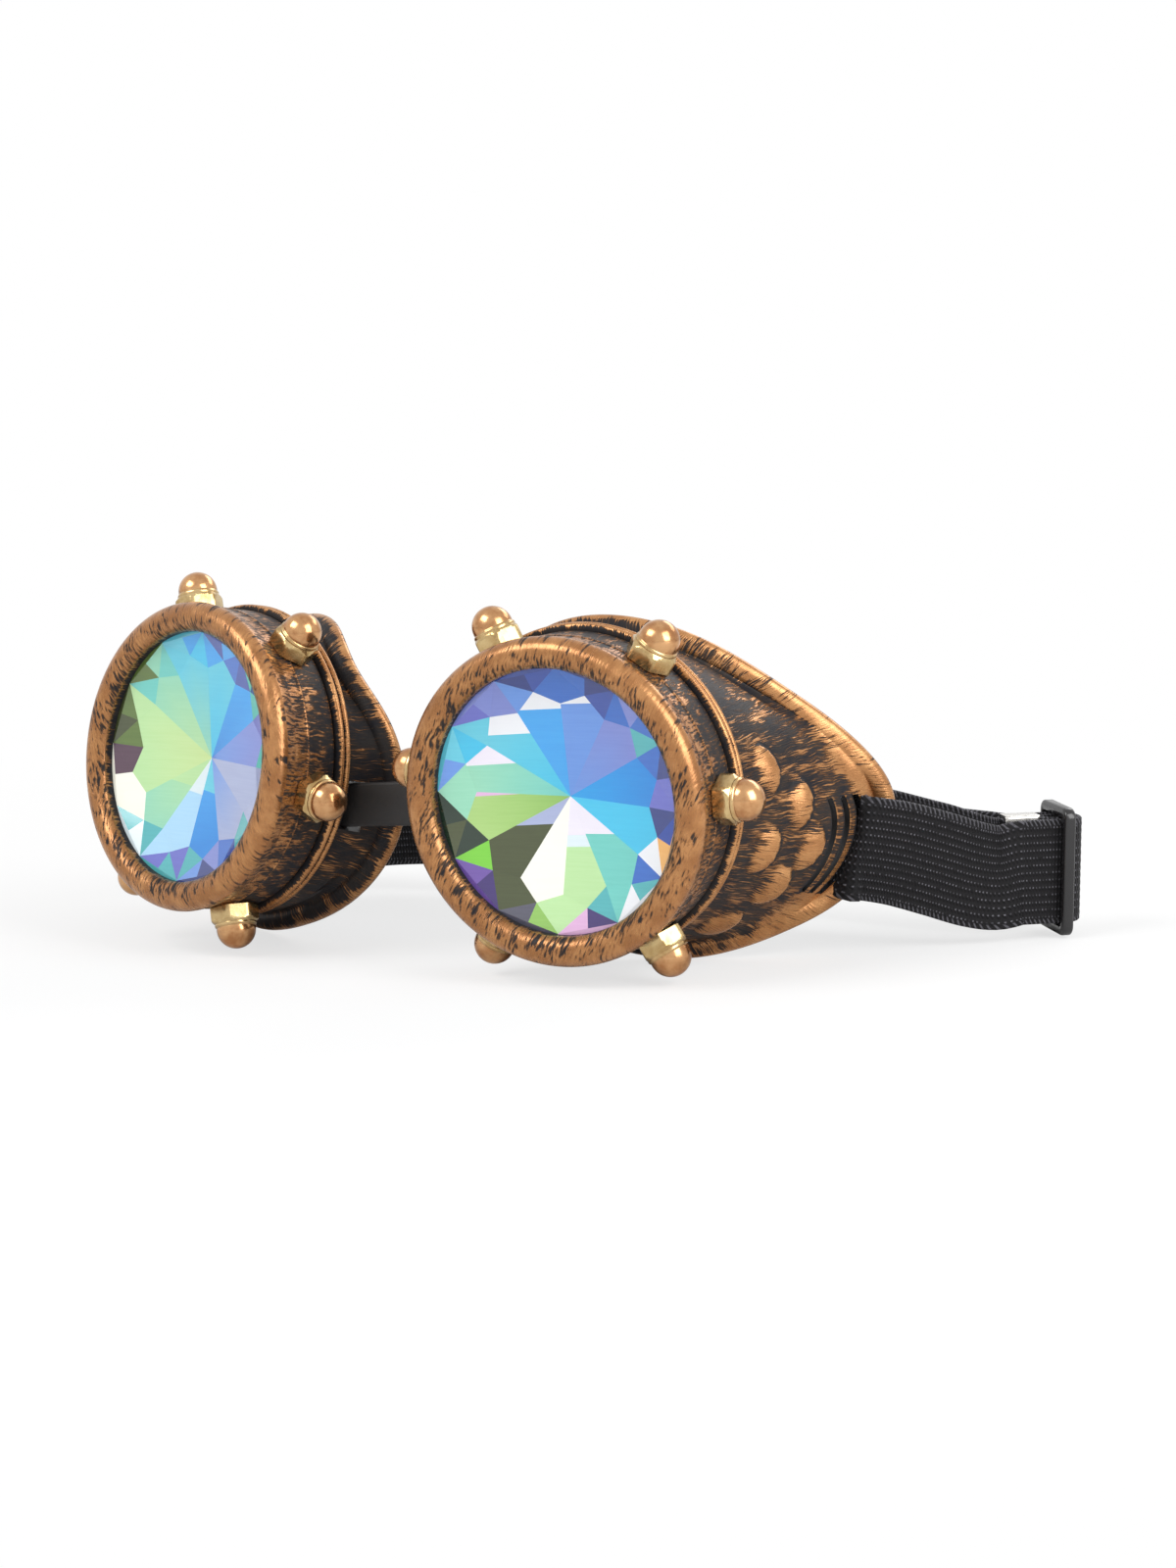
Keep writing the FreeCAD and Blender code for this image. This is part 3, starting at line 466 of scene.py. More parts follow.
def swing(place):
    """A place measured both ways from the temple's end of the rim, -0.5 to 0.5."""
    return (place + 0.5) % 1.0 - 0.5


def past_slots(place):
    """How far a place lies beyond the slots' ends."""
    return np.maximum(swing(place) - SLOT_ENDS[1], SLOT_ENDS[0] - swing(place))


def wall_shares(place):
    """Shares of the wall rows at one place: near the temple they lean with the slots."""
    lean = np.clip((swing(place) - SLOT_PLACES[0]) / (SLOT_PLACES[1] - SLOT_PLACES[0]), -0.1, 1.1)
    fade = np.clip(1.0 - past_slots(place) / SLOT_LEAN_FADE, 0, 1)
    fade = fade * fade * (3 - 2 * fade)
    stops = [0.0, NOSE_SLOT_SHARES[1]]
    shares = [0.0, NOSE_SLOT_SHARES[1]]
    for (low, high), half in zip(SLOT_SHARES, SLOT_HALVES):
        middle = (low + high) / 2
        leaning = high + (low - high) * lean
        for side in (-1, 1):
            stops.append(middle + side * half)
            shares.append(middle + (leaning - middle) * fade + side * half)
    stops.append(1.0)
    shares.append(1.0)
    return np.interp(wall_rows, stops, shares)


# %% Raised scales on the shield
SCALE_PLACES = (
    (0.056, 0.26), (0.008, 0.44), (-0.040, 0.57), (-0.042, 0.24), (-0.086, 0.48), (-0.154, 0.46),
)
SCALE_LEANS = (-7, 4, 19, 20, 28, 35)
SCALE_HALF, SCALE_HEIGHT, SCALE_STEEP = (2.75, 4.5), 1.35, 0.14
SCALE_WEAR, SCALE_GAIN = 0.36, 0.46


def scale_frame(place, share):
    """Middle, backward, upward and outward directions of a raised scale."""
    step = 0.002
    spots = shield(np.array((place, place, place, place - step, place + step)),
                   np.array((share, share - step, share + step, share, share)))
    back = unit(spots[2] - spots[1])
    out = unit(np.cross(back, spots[4] - spots[3]))
    return spots[0], back, np.cross(out, back), out


def raise_scales(points, wear_and_shade):
    """Push the scales out of the wall, lay copper on them and paint a thin shadow behind each."""
    for (place, share), lean in zip(SCALE_PLACES, np.radians(SCALE_LEANS)):
        middle, back, up, out = scale_frame(place, share)
        away = points - middle
        s = away @ (back * math.cos(lean) - up * math.sin(lean)) / SCALE_HALF[0]
        t = away @ (back * math.sin(lean) + up * math.cos(lean)) / SCALE_HALF[1]
        near = (abs(away @ out) < 4) & (abs(t) < 1) & (abs(s) < 1.6)
        rim = np.sqrt(np.clip(1 - t ** 2, 0, 1))
        ramp = np.clip((s + rim) / (1.7 * rim + 1e-6), 0, 1)
        fall = np.clip((rim - s) / SCALE_STEEP, 0, 1)
        form = np.where(near, np.sin(ramp * math.pi / 2) * fall * rim ** 0.8, 0.0)
        points = points + out * (SCALE_HEIGHT * form)[..., None]
        coat = SCALE_WEAR + SCALE_GAIN * np.clip(form * 1.5, 0, 1)
        wear_and_shade = np.where(form > 0.02, np.maximum(wear_and_shade, coat), wear_and_shade)
        # A thin band just behind each scale's steep back is set to black paint: a painted shadow cast by the
        # scale.
        shade = near & (s > rim) & (s < rim + 0.45)
        wear_and_shade = np.where(shade, np.minimum(wear_and_shade, UNPAINTED), wear_and_shade)
    return points, wear_and_shade


print("raised scales:", len(SCALE_PLACES))

# %% Collar and flange
COLLAR_RADIUS, COLLAR_FRONT, THREAD_BACK, THREAD_DEPTH = 25.85, 4.8, 10.8, 0.65
CUP_BORE_RADIUS, FLANGE_RADIUS, FLANGE_FRONT, FLANGE_BACK = 23.5, 28.233, 12.8, 15.8
BEAD_WIDTH, BEAD_HEIGHT, BEAD_STEPS = 1.4, 1.0, 8
# Inset and setback of the flared rim's rows, and their wear at the temple and at the nose
RIM_ROWS = (
    (2.6, -1.25, 0.70, 0.30), (2.1, -1.15, 0.72, 0.20), (1.6, -0.95, 0.74, 0.22), (1.1, -0.65, 0.78, 0.22),
    (0.65, -0.3, 0.82, 0.36), (0.3, 0.15, 0.84, 0.62), (0.05, 0.6, 0.84, 0.80), (0.0, 1.1, 0.80, 0.74),
    (0.12, 1.6, 0.72, 0.60), (0.5, 1.95, 0.55, 0.4), (1.2, RIM_THICKNESS, 0.4, 0.25),
    (3.0, RIM_THICKNESS, 0.25, 0.15),
)
# Radius and setback of the rows from the lining to the front of the bore
BORE_ROWS = (
    (25.5, FLANGE_BACK), (CUP_BORE_RADIUS + 0.2, FLANGE_BACK),
    (CUP_BORE_RADIUS, FLANGE_BACK - 0.2), (CUP_BORE_RADIUS, COLLAR_FRONT),
)


def collar_rows():
    """Rows of the collar's profile as (radius, setback, wear), from the bore's front to the wall."""
    land = COLLAR_RADIUS - THREAD_DEPTH
    rows = [(COLLAR_RADIUS, COLLAR_FRONT), (COLLAR_RADIUS, THREAD_BACK), (land, THREAD_BACK),
            (land, FLANGE_FRONT), (FLANGE_RADIUS - 0.3, FLANGE_FRONT)]
    rows = [row + (UNPAINTED,) for row in rows]
    for start in (FLANGE_FRONT, FLANGE_FRONT + BEAD_WIDTH):
        for k in range(BEAD_STEPS + 1):
            angle = math.pi * k / BEAD_STEPS
            crest = math.sin(angle)
            rows.append((FLANGE_RADIUS - 0.15 + (BEAD_HEIGHT + 0.1) * crest,
                         start + BEAD_WIDTH * (1 - math.cos(angle)) / 2, 0.12 + 0.95 * crest ** 2))
    return rows


print("collar rows:", len(collar_rows()))

# %% Hollow, filled flange and wear of the wall
TEMPLE_MIDDLE, TEMPLE_HALF = -0.035, 0.13
TROUGH_DEPTH, TROUGH_HALF, TROUGH_FADE = 0.8, 1.5, 0.07
FLANGE_FILL, FILL_WIDTH, FILL_OUT, FILL_FORWARD = 0.9, 4.5, 0.55, 0.83
WALL_WEAR, LINING_WEAR, SLOT_EDGE_WEAR = 0.345, 0.12, (0.15, 0.62)


def from_temple(places):
    return np.abs(swing(places) - TEMPLE_MIDDLE)


def fill_share(places):
    """1 above and below the strap slots, where the wall runs flat into the flange."""
    away = past_slots(places)
    return np.clip((away - 0.006) / 0.02, 0, 1) * np.clip((0.13 - away) / 0.06, 0, 1)


def among_scales(points):
    """1 on and between the raised scales, fading to 0 a few millimetres away."""
    nearest = np.full(points.shape[:2], 99.0)
    for place, share in SCALE_PLACES:
        nearest = np.minimum(nearest, np.linalg.norm(points - scale_frame(place, share)[0], axis=2))
    return np.clip(1 - (nearest - 4) / 6, 0, 1)


def cup_wall(places, shares, fill):
    """Points and wear of the wall, with its hollow, its filled flange and its raised scales."""
    wall = np.stack([shield(places, row) for row in shares.T], axis=1)
    from_neck = (1 - shares) * np.linalg.norm(wall[:, -1] - wall[:, 0], axis=1)[:, None]
    hollow = np.clip((from_temple(places) - TEMPLE_HALF) / TROUGH_FADE, 0, 1)
    hollow = hollow * np.clip((wall[:, -1, 0] + 26) / 10, 0, 1)
    trough = np.clip(1 - np.abs(from_neck - TROUGH_HALF) / TROUGH_HALF, 0, 1) ** 0.6 * hollow[:, None]
    temple = np.clip(1 - from_temple(places) / TEMPLE_HALF, 0, 1)[:, None]
    edge = np.clip(2.4 * temple, 0, 1) * np.clip(1.35 * (1 - from_neck / 6.0), 0, 1)
    nose_side = np.clip((10 - wall[..., 0]) / 20, 0, 1)
    wear_and_shade = WALL_WEAR - 0.45 * trough ** 1.6 + 0.55 * edge + 0.05 * (among_scales(wall) - nose_side)
    wall = wall - collar_loop(places, 1.0, 0.0)[:, None] * (TROUGH_DEPTH * trough)[..., None]
    wall = wall + fill[:, None] * (np.clip(1 - from_neck / FILL_WIDTH, 0, 1) ** 2)[..., None]
    return raise_scales(wall, wear_and_shade)


print("hollow depth in mm:", TROUGH_DEPTH, "fill:", FLANGE_FILL)

# %% Build both cups


def cup_rows(places):
    """All rows of the cup's closed profile, their wear, and the numbers of the first wall and lining row."""
    shares = np.array([wall_shares(place) for place in places])
    fill = collar_loop(places, FILL_OUT, -FILL_FORWARD) * (FLANGE_FILL * fill_share(places))[:, None]
    rows = [collar_loop(places, radius, setback) for radius, setback, _ in collar_rows()]
    wear_and_shade = [np.full(len(places), value) for _, _, value in collar_rows()]
    wall_first = len(rows)
    wall, wall_wear_and_shade = cup_wall(places, shares, fill)
    rows += list(np.moveaxis(wall, 1, 0))
    wear_and_shade += list(wall_wear_and_shade.T)
    broad = np.clip((rim_loop(places, 0.0, 0.0)[:, 0] - 2) / 26, 0, 1)
    for inset, setback, at_temple, at_nose in RIM_ROWS:
        filled = (inset / RIM_LIP) ** 2 if setback < 0 else 0.0
        rows.append(rim_loop(places, inset, setback) + fill * filled)
        wear_and_shade.append(at_nose + (at_temple - at_nose) * broad)
    lining_first = len(rows)
    for row in shares.T[::-1]:
        rows.append(lining(places, np.clip(row, 0.03, 1)))
        wear_and_shade.append(np.full(len(places), LINING_WEAR))
    for radius, setback in BORE_ROWS:
        rows.append(collar_loop(places, radius, setback))
        wear_and_shade.append(np.full(len(places), UNPAINTED))
    return np.stack(rows, axis=1), np.stack(wear_and_shade, axis=1), wall_first, lining_first


def index_of(wanted, values):
    return int(np.argmin(abs(values - wanted)))


def cup_skin():
    """The grid of both walls with its slots left open, and the slots' own walls."""
    places = cup_places
    points, wear_and_shade, wall_first, lining_first = cup_rows(places)
    lining_last = lining_first + len(wall_rows) - 1
    keep = np.ones(points.shape[:2], bool)
    openings = []
    slots = [(SLOT_ENDS, slot_rows[k:k + 2]) for k in range(0, len(slot_rows), 2)]
    for ends, shares in slots + [(nose_ends, NOSE_SLOT_SHARES)]:
        c0, c1 = (index_of(end, places) for end in ends)
        r0, r1 = (index_of(share, wall_rows) for share in shares)
        keep[c0:c1, wall_first + r0:wall_first + r1] = False
        keep[c0:c1, lining_last - r1:lining_last - r0] = False
        wear_and_shade[c0:c1 + 1, wall_first + r0], wear_and_shade[c0:c1 + 1, wall_first + r1] = SLOT_EDGE_WEAR
        ring = [(i, r0) for i in range(c0, c1)] + [(c1, j) for j in range(r0, r1)]
        ring += [(i, r1) for i in range(c1, c0, -1)] + [(c0, j) for j in range(r1, r0, -1)]
        openings.append(ring)
    skin = Skin()
    around = np.append(places, places[0] + 1.0) * RIM_LENGTH
    number = skin.add_grid(points, around, lengths_along(points, True), wear_and_shade, keep=keep)
    for ring in openings:
        outer = [number[i, wall_first + r] for i, r in ring]
        inner = [number[i, lining_last - r] for i, r in ring]
        front, back = np.array(skin.points)[outer], np.array(skin.points)[inner]
        first = skin.add_points(front + (back - front) * 0.08, 0.0)
        for n in range(len(ring)):
            m = (n + 1) % len(ring)
            skin.add_face((outer[n], outer[m], first + m, first + n),
                          ((0, 0), (0.3, 0), (0.3, 0.2), (0, 0.2)))
            skin.add_face((first + n, first + m, inner[m], inner[n]),
                          ((0, 0.2), (0.3, 0.2), (0.3, 2), (0, 2)))
    return skin


dress_both("_painted_cup", cup_skin(), cup_paint, "_cup", "_eye_cup")

# %% [markdown]
# ## The lens ring
# The ring is turned: a fat rounded lip in front, a small step, a plain wall with one fine raised seam and
# a square back. A lathe profile carried round the lens axis is the natural way to make it.

# %% Turned lens rings
RING_OPENING_RADIUS, RING_RADIUS, RING_BEAD_RADIUS = 23.25, 28.0, 28.7
RING_CREST, RING_LIP_BACK, RING_LENGTH = 2.2, 1.2, 12.4
RING_BORE_RADIUS, POCKET_RADIUS, SEAL_FRONT = 25.95, 25.3, 3.8
RING_COLUMNS = 224
SEAM_SETBACK = 6.1


def round_arc(start, middle, end, steps):
    """Points along the circle through three points of a section, without the first one."""
    (ax, ay), (bx, by), (cx, cy) = start, middle, end
    a, b, c = ax * ax + ay * ay, bx * bx + by * by, cx * cx + cy * cy
    double = 2 * (ax * (by - cy) + bx * (cy - ay) + cx * (ay - by))
    x = (a * (by - cy) + b * (cy - ay) + c * (ay - by)) / double
    y = (a * (cx - bx) + b * (ax - cx) + c * (bx - ax)) / double
    angles = np.unwrap([math.atan2(py - y, px - x) for px, py in (start, middle, end)])
    radius = math.hypot(ax - x, ay - y)
    turns = angles[0] + (angles[2] - angles[0]) * np.arange(1, steps + 1) / steps
    return [(x + radius * math.cos(turn), y + radius * math.sin(turn)) for turn in turns]


LIP_INNER = (RING_OPENING_RADIUS, -0.4)
LIP_CREST = ((RING_OPENING_RADIUS + RING_BEAD_RADIUS) / 2, -RING_CREST)
LIP_BEAD, LIP_WAIST, WALL_FRONT = (RING_BEAD_RADIUS, 0.6), (28.42, 2.04), (RING_RADIUS, 3.24)
LIP_STEPS, WAIST_STEPS = 26, 8


def ring_profile():
    """Rows of the ring's section as (radius, setback, wear), from the lens pocket round the outside."""
    rows = [(RING_OPENING_RADIUS, RING_LIP_BACK, UNPAINTED), (RING_OPENING_RADIUS, 0.4, 0.3),
            LIP_INNER + (0.7,)]
    for k, spot in enumerate(round_arc(LIP_INNER, LIP_CREST, LIP_BEAD, LIP_STEPS)):
        rubbed = math.exp(-(((k + 1) / LIP_STEPS - 0.72) / 0.2) ** 2)
        rows.append(spot + (0.62 + 0.2 * rubbed,))
    for k, spot in enumerate(round_arc(LIP_BEAD, LIP_WAIST, WALL_FRONT, WAIST_STEPS)):
        rows.append(spot + (0.60 - 0.05 * math.sin(math.pi * (k + 1) / WAIST_STEPS),))
    for setback, wear_and_shade in ((3.8, 0.58), (4.5, 0.54), (5.3, 0.49)):
        rows.append((RING_RADIUS, setback, wear_and_shade))
    seam = ((-0.28, 0.0, 0.42), (-0.12, 0.14, 0.57), (0.12, 0.14, 0.57), (0.28, 0.0, 0.40))
    for offset, height, wear_and_shade in seam:
        rows.append((RING_RADIUS + height, SEAM_SETBACK + offset, wear_and_shade))
    for setback, wear_and_shade in ((7.0, 0.40), (8.0, 0.37), (9.0, 0.34), (10.0, 0.31), (11.0, 0.28), (11.9, 0.3)):
        rows.append((RING_RADIUS, setback, wear_and_shade))
    rows += [(RING_RADIUS - 0.08, 12.25, 0.5), (RING_RADIUS - 0.3, RING_LENGTH, 0.3),
             (RING_BORE_RADIUS, RING_LENGTH, UNPAINTED), (RING_BORE_RADIUS, SEAL_FRONT, UNPAINTED),
             (POCKET_RADIUS, SEAL_FRONT, UNPAINTED), (POCKET_RADIUS, RING_LIP_BACK, UNPAINTED)]
    return np.array(rows)


LIP_ROWS = range(2, 2 + LIP_STEPS)
LIP_SLANT = math.radians(18)


def ring_skin():
    """The turned ring; the brush went straight across its lip and lengthwise down its wall."""
    rows = ring_profile()
    angle = 2 * math.pi * np.arange(RING_COLUMNS) / RING_COLUMNS
    points = np.empty((RING_COLUMNS, len(rows), 3))
    points[..., 0] = np.cos(angle)[:, None] * rows[:, 0]
    points[..., 1] = rows[:, 1]
    points[..., 2] = np.sin(angle)[:, None] * rows[:, 0]
    around = np.arange(RING_COLUMNS + 1) * (2 * math.pi * RING_RADIUS / RING_COLUMNS)
    wear_and_shade = np.broadcast_to(rows[:, 2], points.shape[:2])
    skin = Skin()
    skin.add_grid(points, around, lengths_along(points, True), wear_and_shade)
    for n, face in enumerate(skin.faces):
        if n % len(rows) in LIP_ROWS:
            for c, corner in enumerate(face):
                x, _, z = skin.points[corner]
                skin.uvs[4 * n + c] = (x * math.cos(LIP_SLANT) - z * math.sin(LIP_SLANT),
                                       x * math.sin(LIP_SLANT) + z * math.cos(LIP_SLANT))
    return skin


dress_both("_painted_ring", ring_skin(), ring_paint, "_ring", "_lens_ring")

# %% [markdown]
# ## The faceted lens
# The lens is a disc cut like a brilliant: twelve kites round the middle, twelve lozenges and a girdle of
# small triangles. A colour film behind it throws a different hue from every cut, so each facet carries its
# own colours as an attribute. These colours hold painted light as well: the near-white facets are painted
# highlights, and level cuts across a facet are a painted reflection of the bright horizon that it mirrors.

# %% Lens colours
TONES = {
    "azure": (0.04, 0.62, 0.91), "royal": (0.12, 0.53, 0.86), "sky": (0.25, 0.64, 0.93),
    "cyan": (0.24, 0.75, 0.91), "pool": (0.38, 0.78, 0.87), "cornflower": (0.40, 0.58, 0.88),
    "periwinkle": (0.48, 0.53, 0.81), "iris": (0.41, 0.43, 0.77), "cobalt": (0.21, 0.42, 0.77),
    "indigo": (0.21, 0.31, 0.64), "navy": (0.17, 0.23, 0.50), "mauve": (0.64, 0.68, 0.82),
    "ice": (0.66, 0.84, 0.96), "teal": (0.32, 0.69, 0.71), "jade": (0.43, 0.79, 0.75),
    "mint": (0.57, 0.83, 0.71), "apple": (0.72, 0.88, 0.63), "lime": (0.80, 0.90, 0.61),
    "leaf": (0.53, 0.72, 0.34), "pear": (0.65, 0.80, 0.47), "grass": (0.46, 0.78, 0.24),
    "moss": (0.37, 0.46, 0.23), "olive": (0.27, 0.30, 0.18), "pine": (0.13, 0.20, 0.15),
    "slate": (0.30, 0.30, 0.36), "umber": (0.34, 0.25, 0.31), "plum": (0.41, 0.31, 0.61),
    "aubergine": (0.24, 0.18, 0.42), "pink": (0.86, 0.68, 0.84), "orange": (0.94, 0.70, 0.40),
    "lilac": (0.92, 0.90, 0.95), "frost": (0.86, 0.92, 0.94), "white": (0.93, 0.94, 0.96),
    "cream": (0.98, 0.98, 0.92),
}
# A kite's tones near the middle and further out, then level cuts with the tone above each: a painted
# reflection of the bright horizon
KITES = {
    "right": ("azure royal", "cornflower periwinkle", "cornflower cornflower 16.6 white",
              "sky sky 15.8 white", "cyan pool 11.6 white", "jade mint 6.4 lilac", "leaf pear 0.9 pink",
              "olive olive -4.6 mauve", "cream cream", "apple apple -8.6 frost -6.6 lilac",
              "jade jade -6.4 lilac", "cyan cyan"),
    "left": ("lime apple", "apple mint", "mint pool", "cyan pool", "royal sky", "cornflower periwinkle",
             "mauve mauve 2.0 periwinkle", "cornflower mauve", "sky royal -6.0 pool", "ice ice -7.0 frost",
             "apple mint -6.0 apple", "lime apple"),
}
# The two halves of each lozenge, and the two triangles of the girdle beside it; the white and cream ones are
# painted highlights
LOZENGES = {
    "right": ("navy iris", "cobalt teal", "cobalt indigo", "cobalt cobalt", "cornflower periwinkle",
              "pool cyan", "mint mint", "pine grass", "olive olive", "apple apple", "teal jade",
              "cobalt white"),
    "left": ("umber moss", "apple jade", "jade pool", "cyan sky", "cobalt indigo", "jade periwinkle",
             "jade mauve", "mauve teal", "cobalt periwinkle", "teal iris", "ice teal", "cream cream"),
}
GIRDLES = {
    "right": ("iris navy", "cobalt periwinkle", "navy cobalt", "indigo navy", "periwinkle iris",
              "pool cornflower", "pine olive", "plum aubergine", "slate leaf", "pink aubergine",
              "white teal", "orange indigo"),
    "left": ("olive moss", "moss mint", "pool sky", "indigo sky", "jade indigo", "mint periwinkle",
             "mint mauve", "teal indigo", "navy cornflower", "teal iris", "frost teal", "cream umber"),
}


def facet_tones(words):
    """The two tones that a facet names, and its level cuts as (height, tone), the tone above a cut being a
    painted reflection.
    """
    near, far, *reflection_cuts = words.split()
    return [TONES[near], TONES[far]] + [(float(h), TONES[tone]) for h, tone in zip(reflection_cuts[::2], reflection_cuts[1::2])]


print("lens tones:", len(TONES))

# %% Lens finish
lens_film_and_reflection, tree, shader = new_material("lens_film_and_reflection")
tone = attribute(tree, "film_and_reflection", "Color")
streaks = step_up(tree, noise(tree, own_place(tree), (0.009, 0.009, 0.0004)), 0.3, 0.7)
shaded = blend_colour(tree, streaks, tone, (1.0, 1.0, 1.0, 1.0))
mixer = shaded.node
mixer.blend_type = "SOFT_LIGHT"
tree.links.new(scaled(tree, streaks, 0.10), mixer.inputs[0])
link(tree, shaded, shader, "Base Color")
set_inputs(shader, Roughness=0.12, IOR=1.5, Coat_Weight=0.6, Coat_Roughness=0.03)
print("film:", lens_film_and_reflection.name)

# %% Cut lenses
LENS_RADIUS, LENS_FRONT, LENS_EDGE, LENS_DEPTH = 25.0, 1.25, 2.5, 6.8
SEEN_DEPTH = 5.3
STAR_RADIUS, KITE_RADIUS, GIRDLE_RADIUS = 16.7, 19.1, 23.2
FACETS = 12


def cut_depths(edge, depth):
    """Depths of the star and kite points that keep each four-sided facet flat."""
    shrink = math.cos(math.pi / FACETS)
    kite_share = KITE_RADIUS / (STAR_RADIUS * shrink)
    girdle_share = (GIRDLE_RADIUS - STAR_RADIUS) / (KITE_RADIUS * shrink - STAR_RADIUS)
    fall = (kite_share - 1) * girdle_share
    star = (edge + fall * depth) / (1 + fall)
    return star, depth - (depth - star) * kite_share


def spot(radius, turns, depth):
    angle = 2 * math.pi * turns / FACETS
    return np.array((radius * math.cos(angle), LENS_FRONT + depth, radius * math.sin(angle)))


HORIZON_SLOPE = 0.10


def split(outline, height):
    """The parts of a facet above and below a line that rises a little towards the temple: the edge of the
    painted horizon reflection.
    """
    above, below = [], []
    for a, b in zip(outline, outline[1:] + outline[:1]):
        over_a, over_b = (p[2] - HORIZON_SLOPE * p[0] - height for p in (a, b))
        (above if over_a >= 0 else below).append(a)
        if over_a * over_b < 0:
            edge = a + (b - a) * (over_a / (over_a - over_b))
            above.append(edge)
            below.append(edge)
    return above, below


def cut_facet(outline, near, far, *reflection_cuts):
    """Parts of a facet, each with its tones near the middle of the lens and far from it; above each cut the
    tone is a painted reflection.
    """
    parts = [(list(outline), near, far)]
    for height, tone in reflection_cuts:
        found = []
        for shape, inner, outer in parts:
            above, below = split(shape, height)
            found += [(above, tone, tone)] * (len(above) > 2) + [(below, inner, outer)] * (len(below) > 2)
        parts = found
    return parts


def lens_facets(side):
    """Polygons with a tone for each: the hollow front, then the convex back and the edge."""
    star_depth, kite_depth = cut_depths(0.0, SEEN_DEPTH)
    back_star, back_kite = cut_depths(LENS_EDGE, LENS_DEPTH)
    apex = spot(0, 0, SEEN_DEPTH)
    back_apex = spot(0, 0, LENS_DEPTH)
    found = []
    for k in range(FACETS):
        star, next_star = spot(STAR_RADIUS, k, star_depth), spot(STAR_RADIUS, k + 1, star_depth)
        kite, last_kite = spot(KITE_RADIUS, k + 0.5, kite_depth), spot(KITE_RADIUS, k - 0.5, kite_depth)
        corner, next_corner = spot(GIRDLE_RADIUS, k, 0), spot(GIRDLE_RADIUS, k + 1, 0)
        kite_tones = facet_tones(KITES[side][k])
        low, high = facet_tones(LOZENGES[side][k])
        girdle, shard = facet_tones(GIRDLES[side][k])
        found += cut_facet((apex, star, kite, next_star), *kite_tones)
        found += [([star, last_kite, corner], low, low), ([star, corner, kite], high, high)]
        middle = (corner + next_corner) / 2
        found += [([kite, corner, middle], girdle, girdle), ([kite, middle, next_corner], shard, shard)]
        edge, next_edge = spot(LENS_RADIUS, k, 0), spot(LENS_RADIUS, k + 1, 0)
        found.append(([corner, edge, next_edge, next_corner], girdle, girdle))
        rear, next_rear = spot(LENS_RADIUS, k, LENS_EDGE), spot(LENS_RADIUS, k + 1, LENS_EDGE)
        found.append(([edge, rear, next_rear, next_edge], girdle, girdle))
        back = [spot(STAR_RADIUS, k, back_star), spot(STAR_RADIUS, k + 1, back_star),
                spot(KITE_RADIUS, k + 0.5, back_kite), spot(KITE_RADIUS, k - 0.5, back_kite),
                spot(GIRDLE_RADIUS, k, LENS_EDGE), spot(GIRDLE_RADIUS, k + 1, LENS_EDGE)]
        found.append(([back_apex, back[1], back[2], back[0]], *kite_tones[:2]))
        found.append(([back[0], back[2], back[4], back[3]], low, high))
        found.append(([back[2], back[5], back[4]], girdle, shard))
        found.append(([back[4], back[5], next_rear, rear], shard, shard))
    return found


def weld(polygons):
    """Shared points of polygons that touch, each one also set into the edges that it lies on."""
    points = []
    numbers = {}
    for outline in polygons:
        for p in outline:
            key = tuple(np.round(p, 4))
            if key not in numbers:
                numbers[key] = len(points)
                points.append(p)
    points = np.array(points)
    faces = []
    for outline in polygons:
        corners = [numbers[tuple(np.round(p, 4))] for p in outline]
        face = []
        for a, b in zip(corners, corners[1:] + corners[:1]):
            way = points[b] - points[a]
            away = points - points[a]
            share = away @ way / (way @ way)
            off = np.linalg.norm(away - share[:, None] * way, axis=1)
            inside = [n for n in np.argsort(share) if off[n] < 1e-4 and 1e-4 < share[n] < 1 - 1e-4]
            face += [a] + [int(n) for n in inside]
        faces.append(face)
    return points, faces


def make_lens(side):
    facets = lens_facets(side)
    points, faces = weld([facet[0] for facet in facets])
    mesh = bpy.data.meshes.new(side + "_cut_lens")
    mesh.from_pydata(on_cup(side, points).tolist(), [], faces)
    face_outward(mesh)
    film_and_reflection = mesh.attributes.new("film_and_reflection", "FLOAT_COLOR", "CORNER")
    for polygon, (_, near, far) in zip(mesh.polygons, facets):
        for loop in polygon.loop_indices:
            x, _, z = points[mesh.loops[loop].vertex_index]
            share = min(1.0, math.hypot(x, z) / STAR_RADIUS)
            film_and_reflection.data[loop].color = linear(*[a + (b - a) * share for a, b in zip(near, far)])
    mesh.materials.append(lens_film_and_reflection)
    print(mesh.name, "facets:", len(faces))
    return add_object(side + "_cut_lens", mesh)


for side in SIDES:
    dress(make_lens(side), side + "_lens", side + "_lens")

# %% [markdown]
# ## Dome nuts
# Six dome nuts stand round each ring, set by hand at angles that are not quite even. One nut is modelled
# as a grid whose radius is a hexagon below and a circle above. Geometry Nodes then set it on six seats,
# which carry their own directions, so both rings are made by one tree.

# %% One dome nut
NUT_FLATS, NUT_HEX_HEIGHT, NUT_HEIGHT, NUT_DOME_RADIUS = 8.0, 3.2, 8.0, 3.63
NUT_COLUMNS, DOME_STEPS = 72, 13


def hexagon(angle):
    """Radius of a hexagon with softly rounded corners; a flat faces angle 0."""
    turn = (angle + math.pi / 6) % (math.pi / 3) - math.pi / 6
    sharp = NUT_FLATS / 2 / np.cos(turn)
    return np.minimum(sharp, NUT_FLATS / math.sqrt(3) - 0.12)


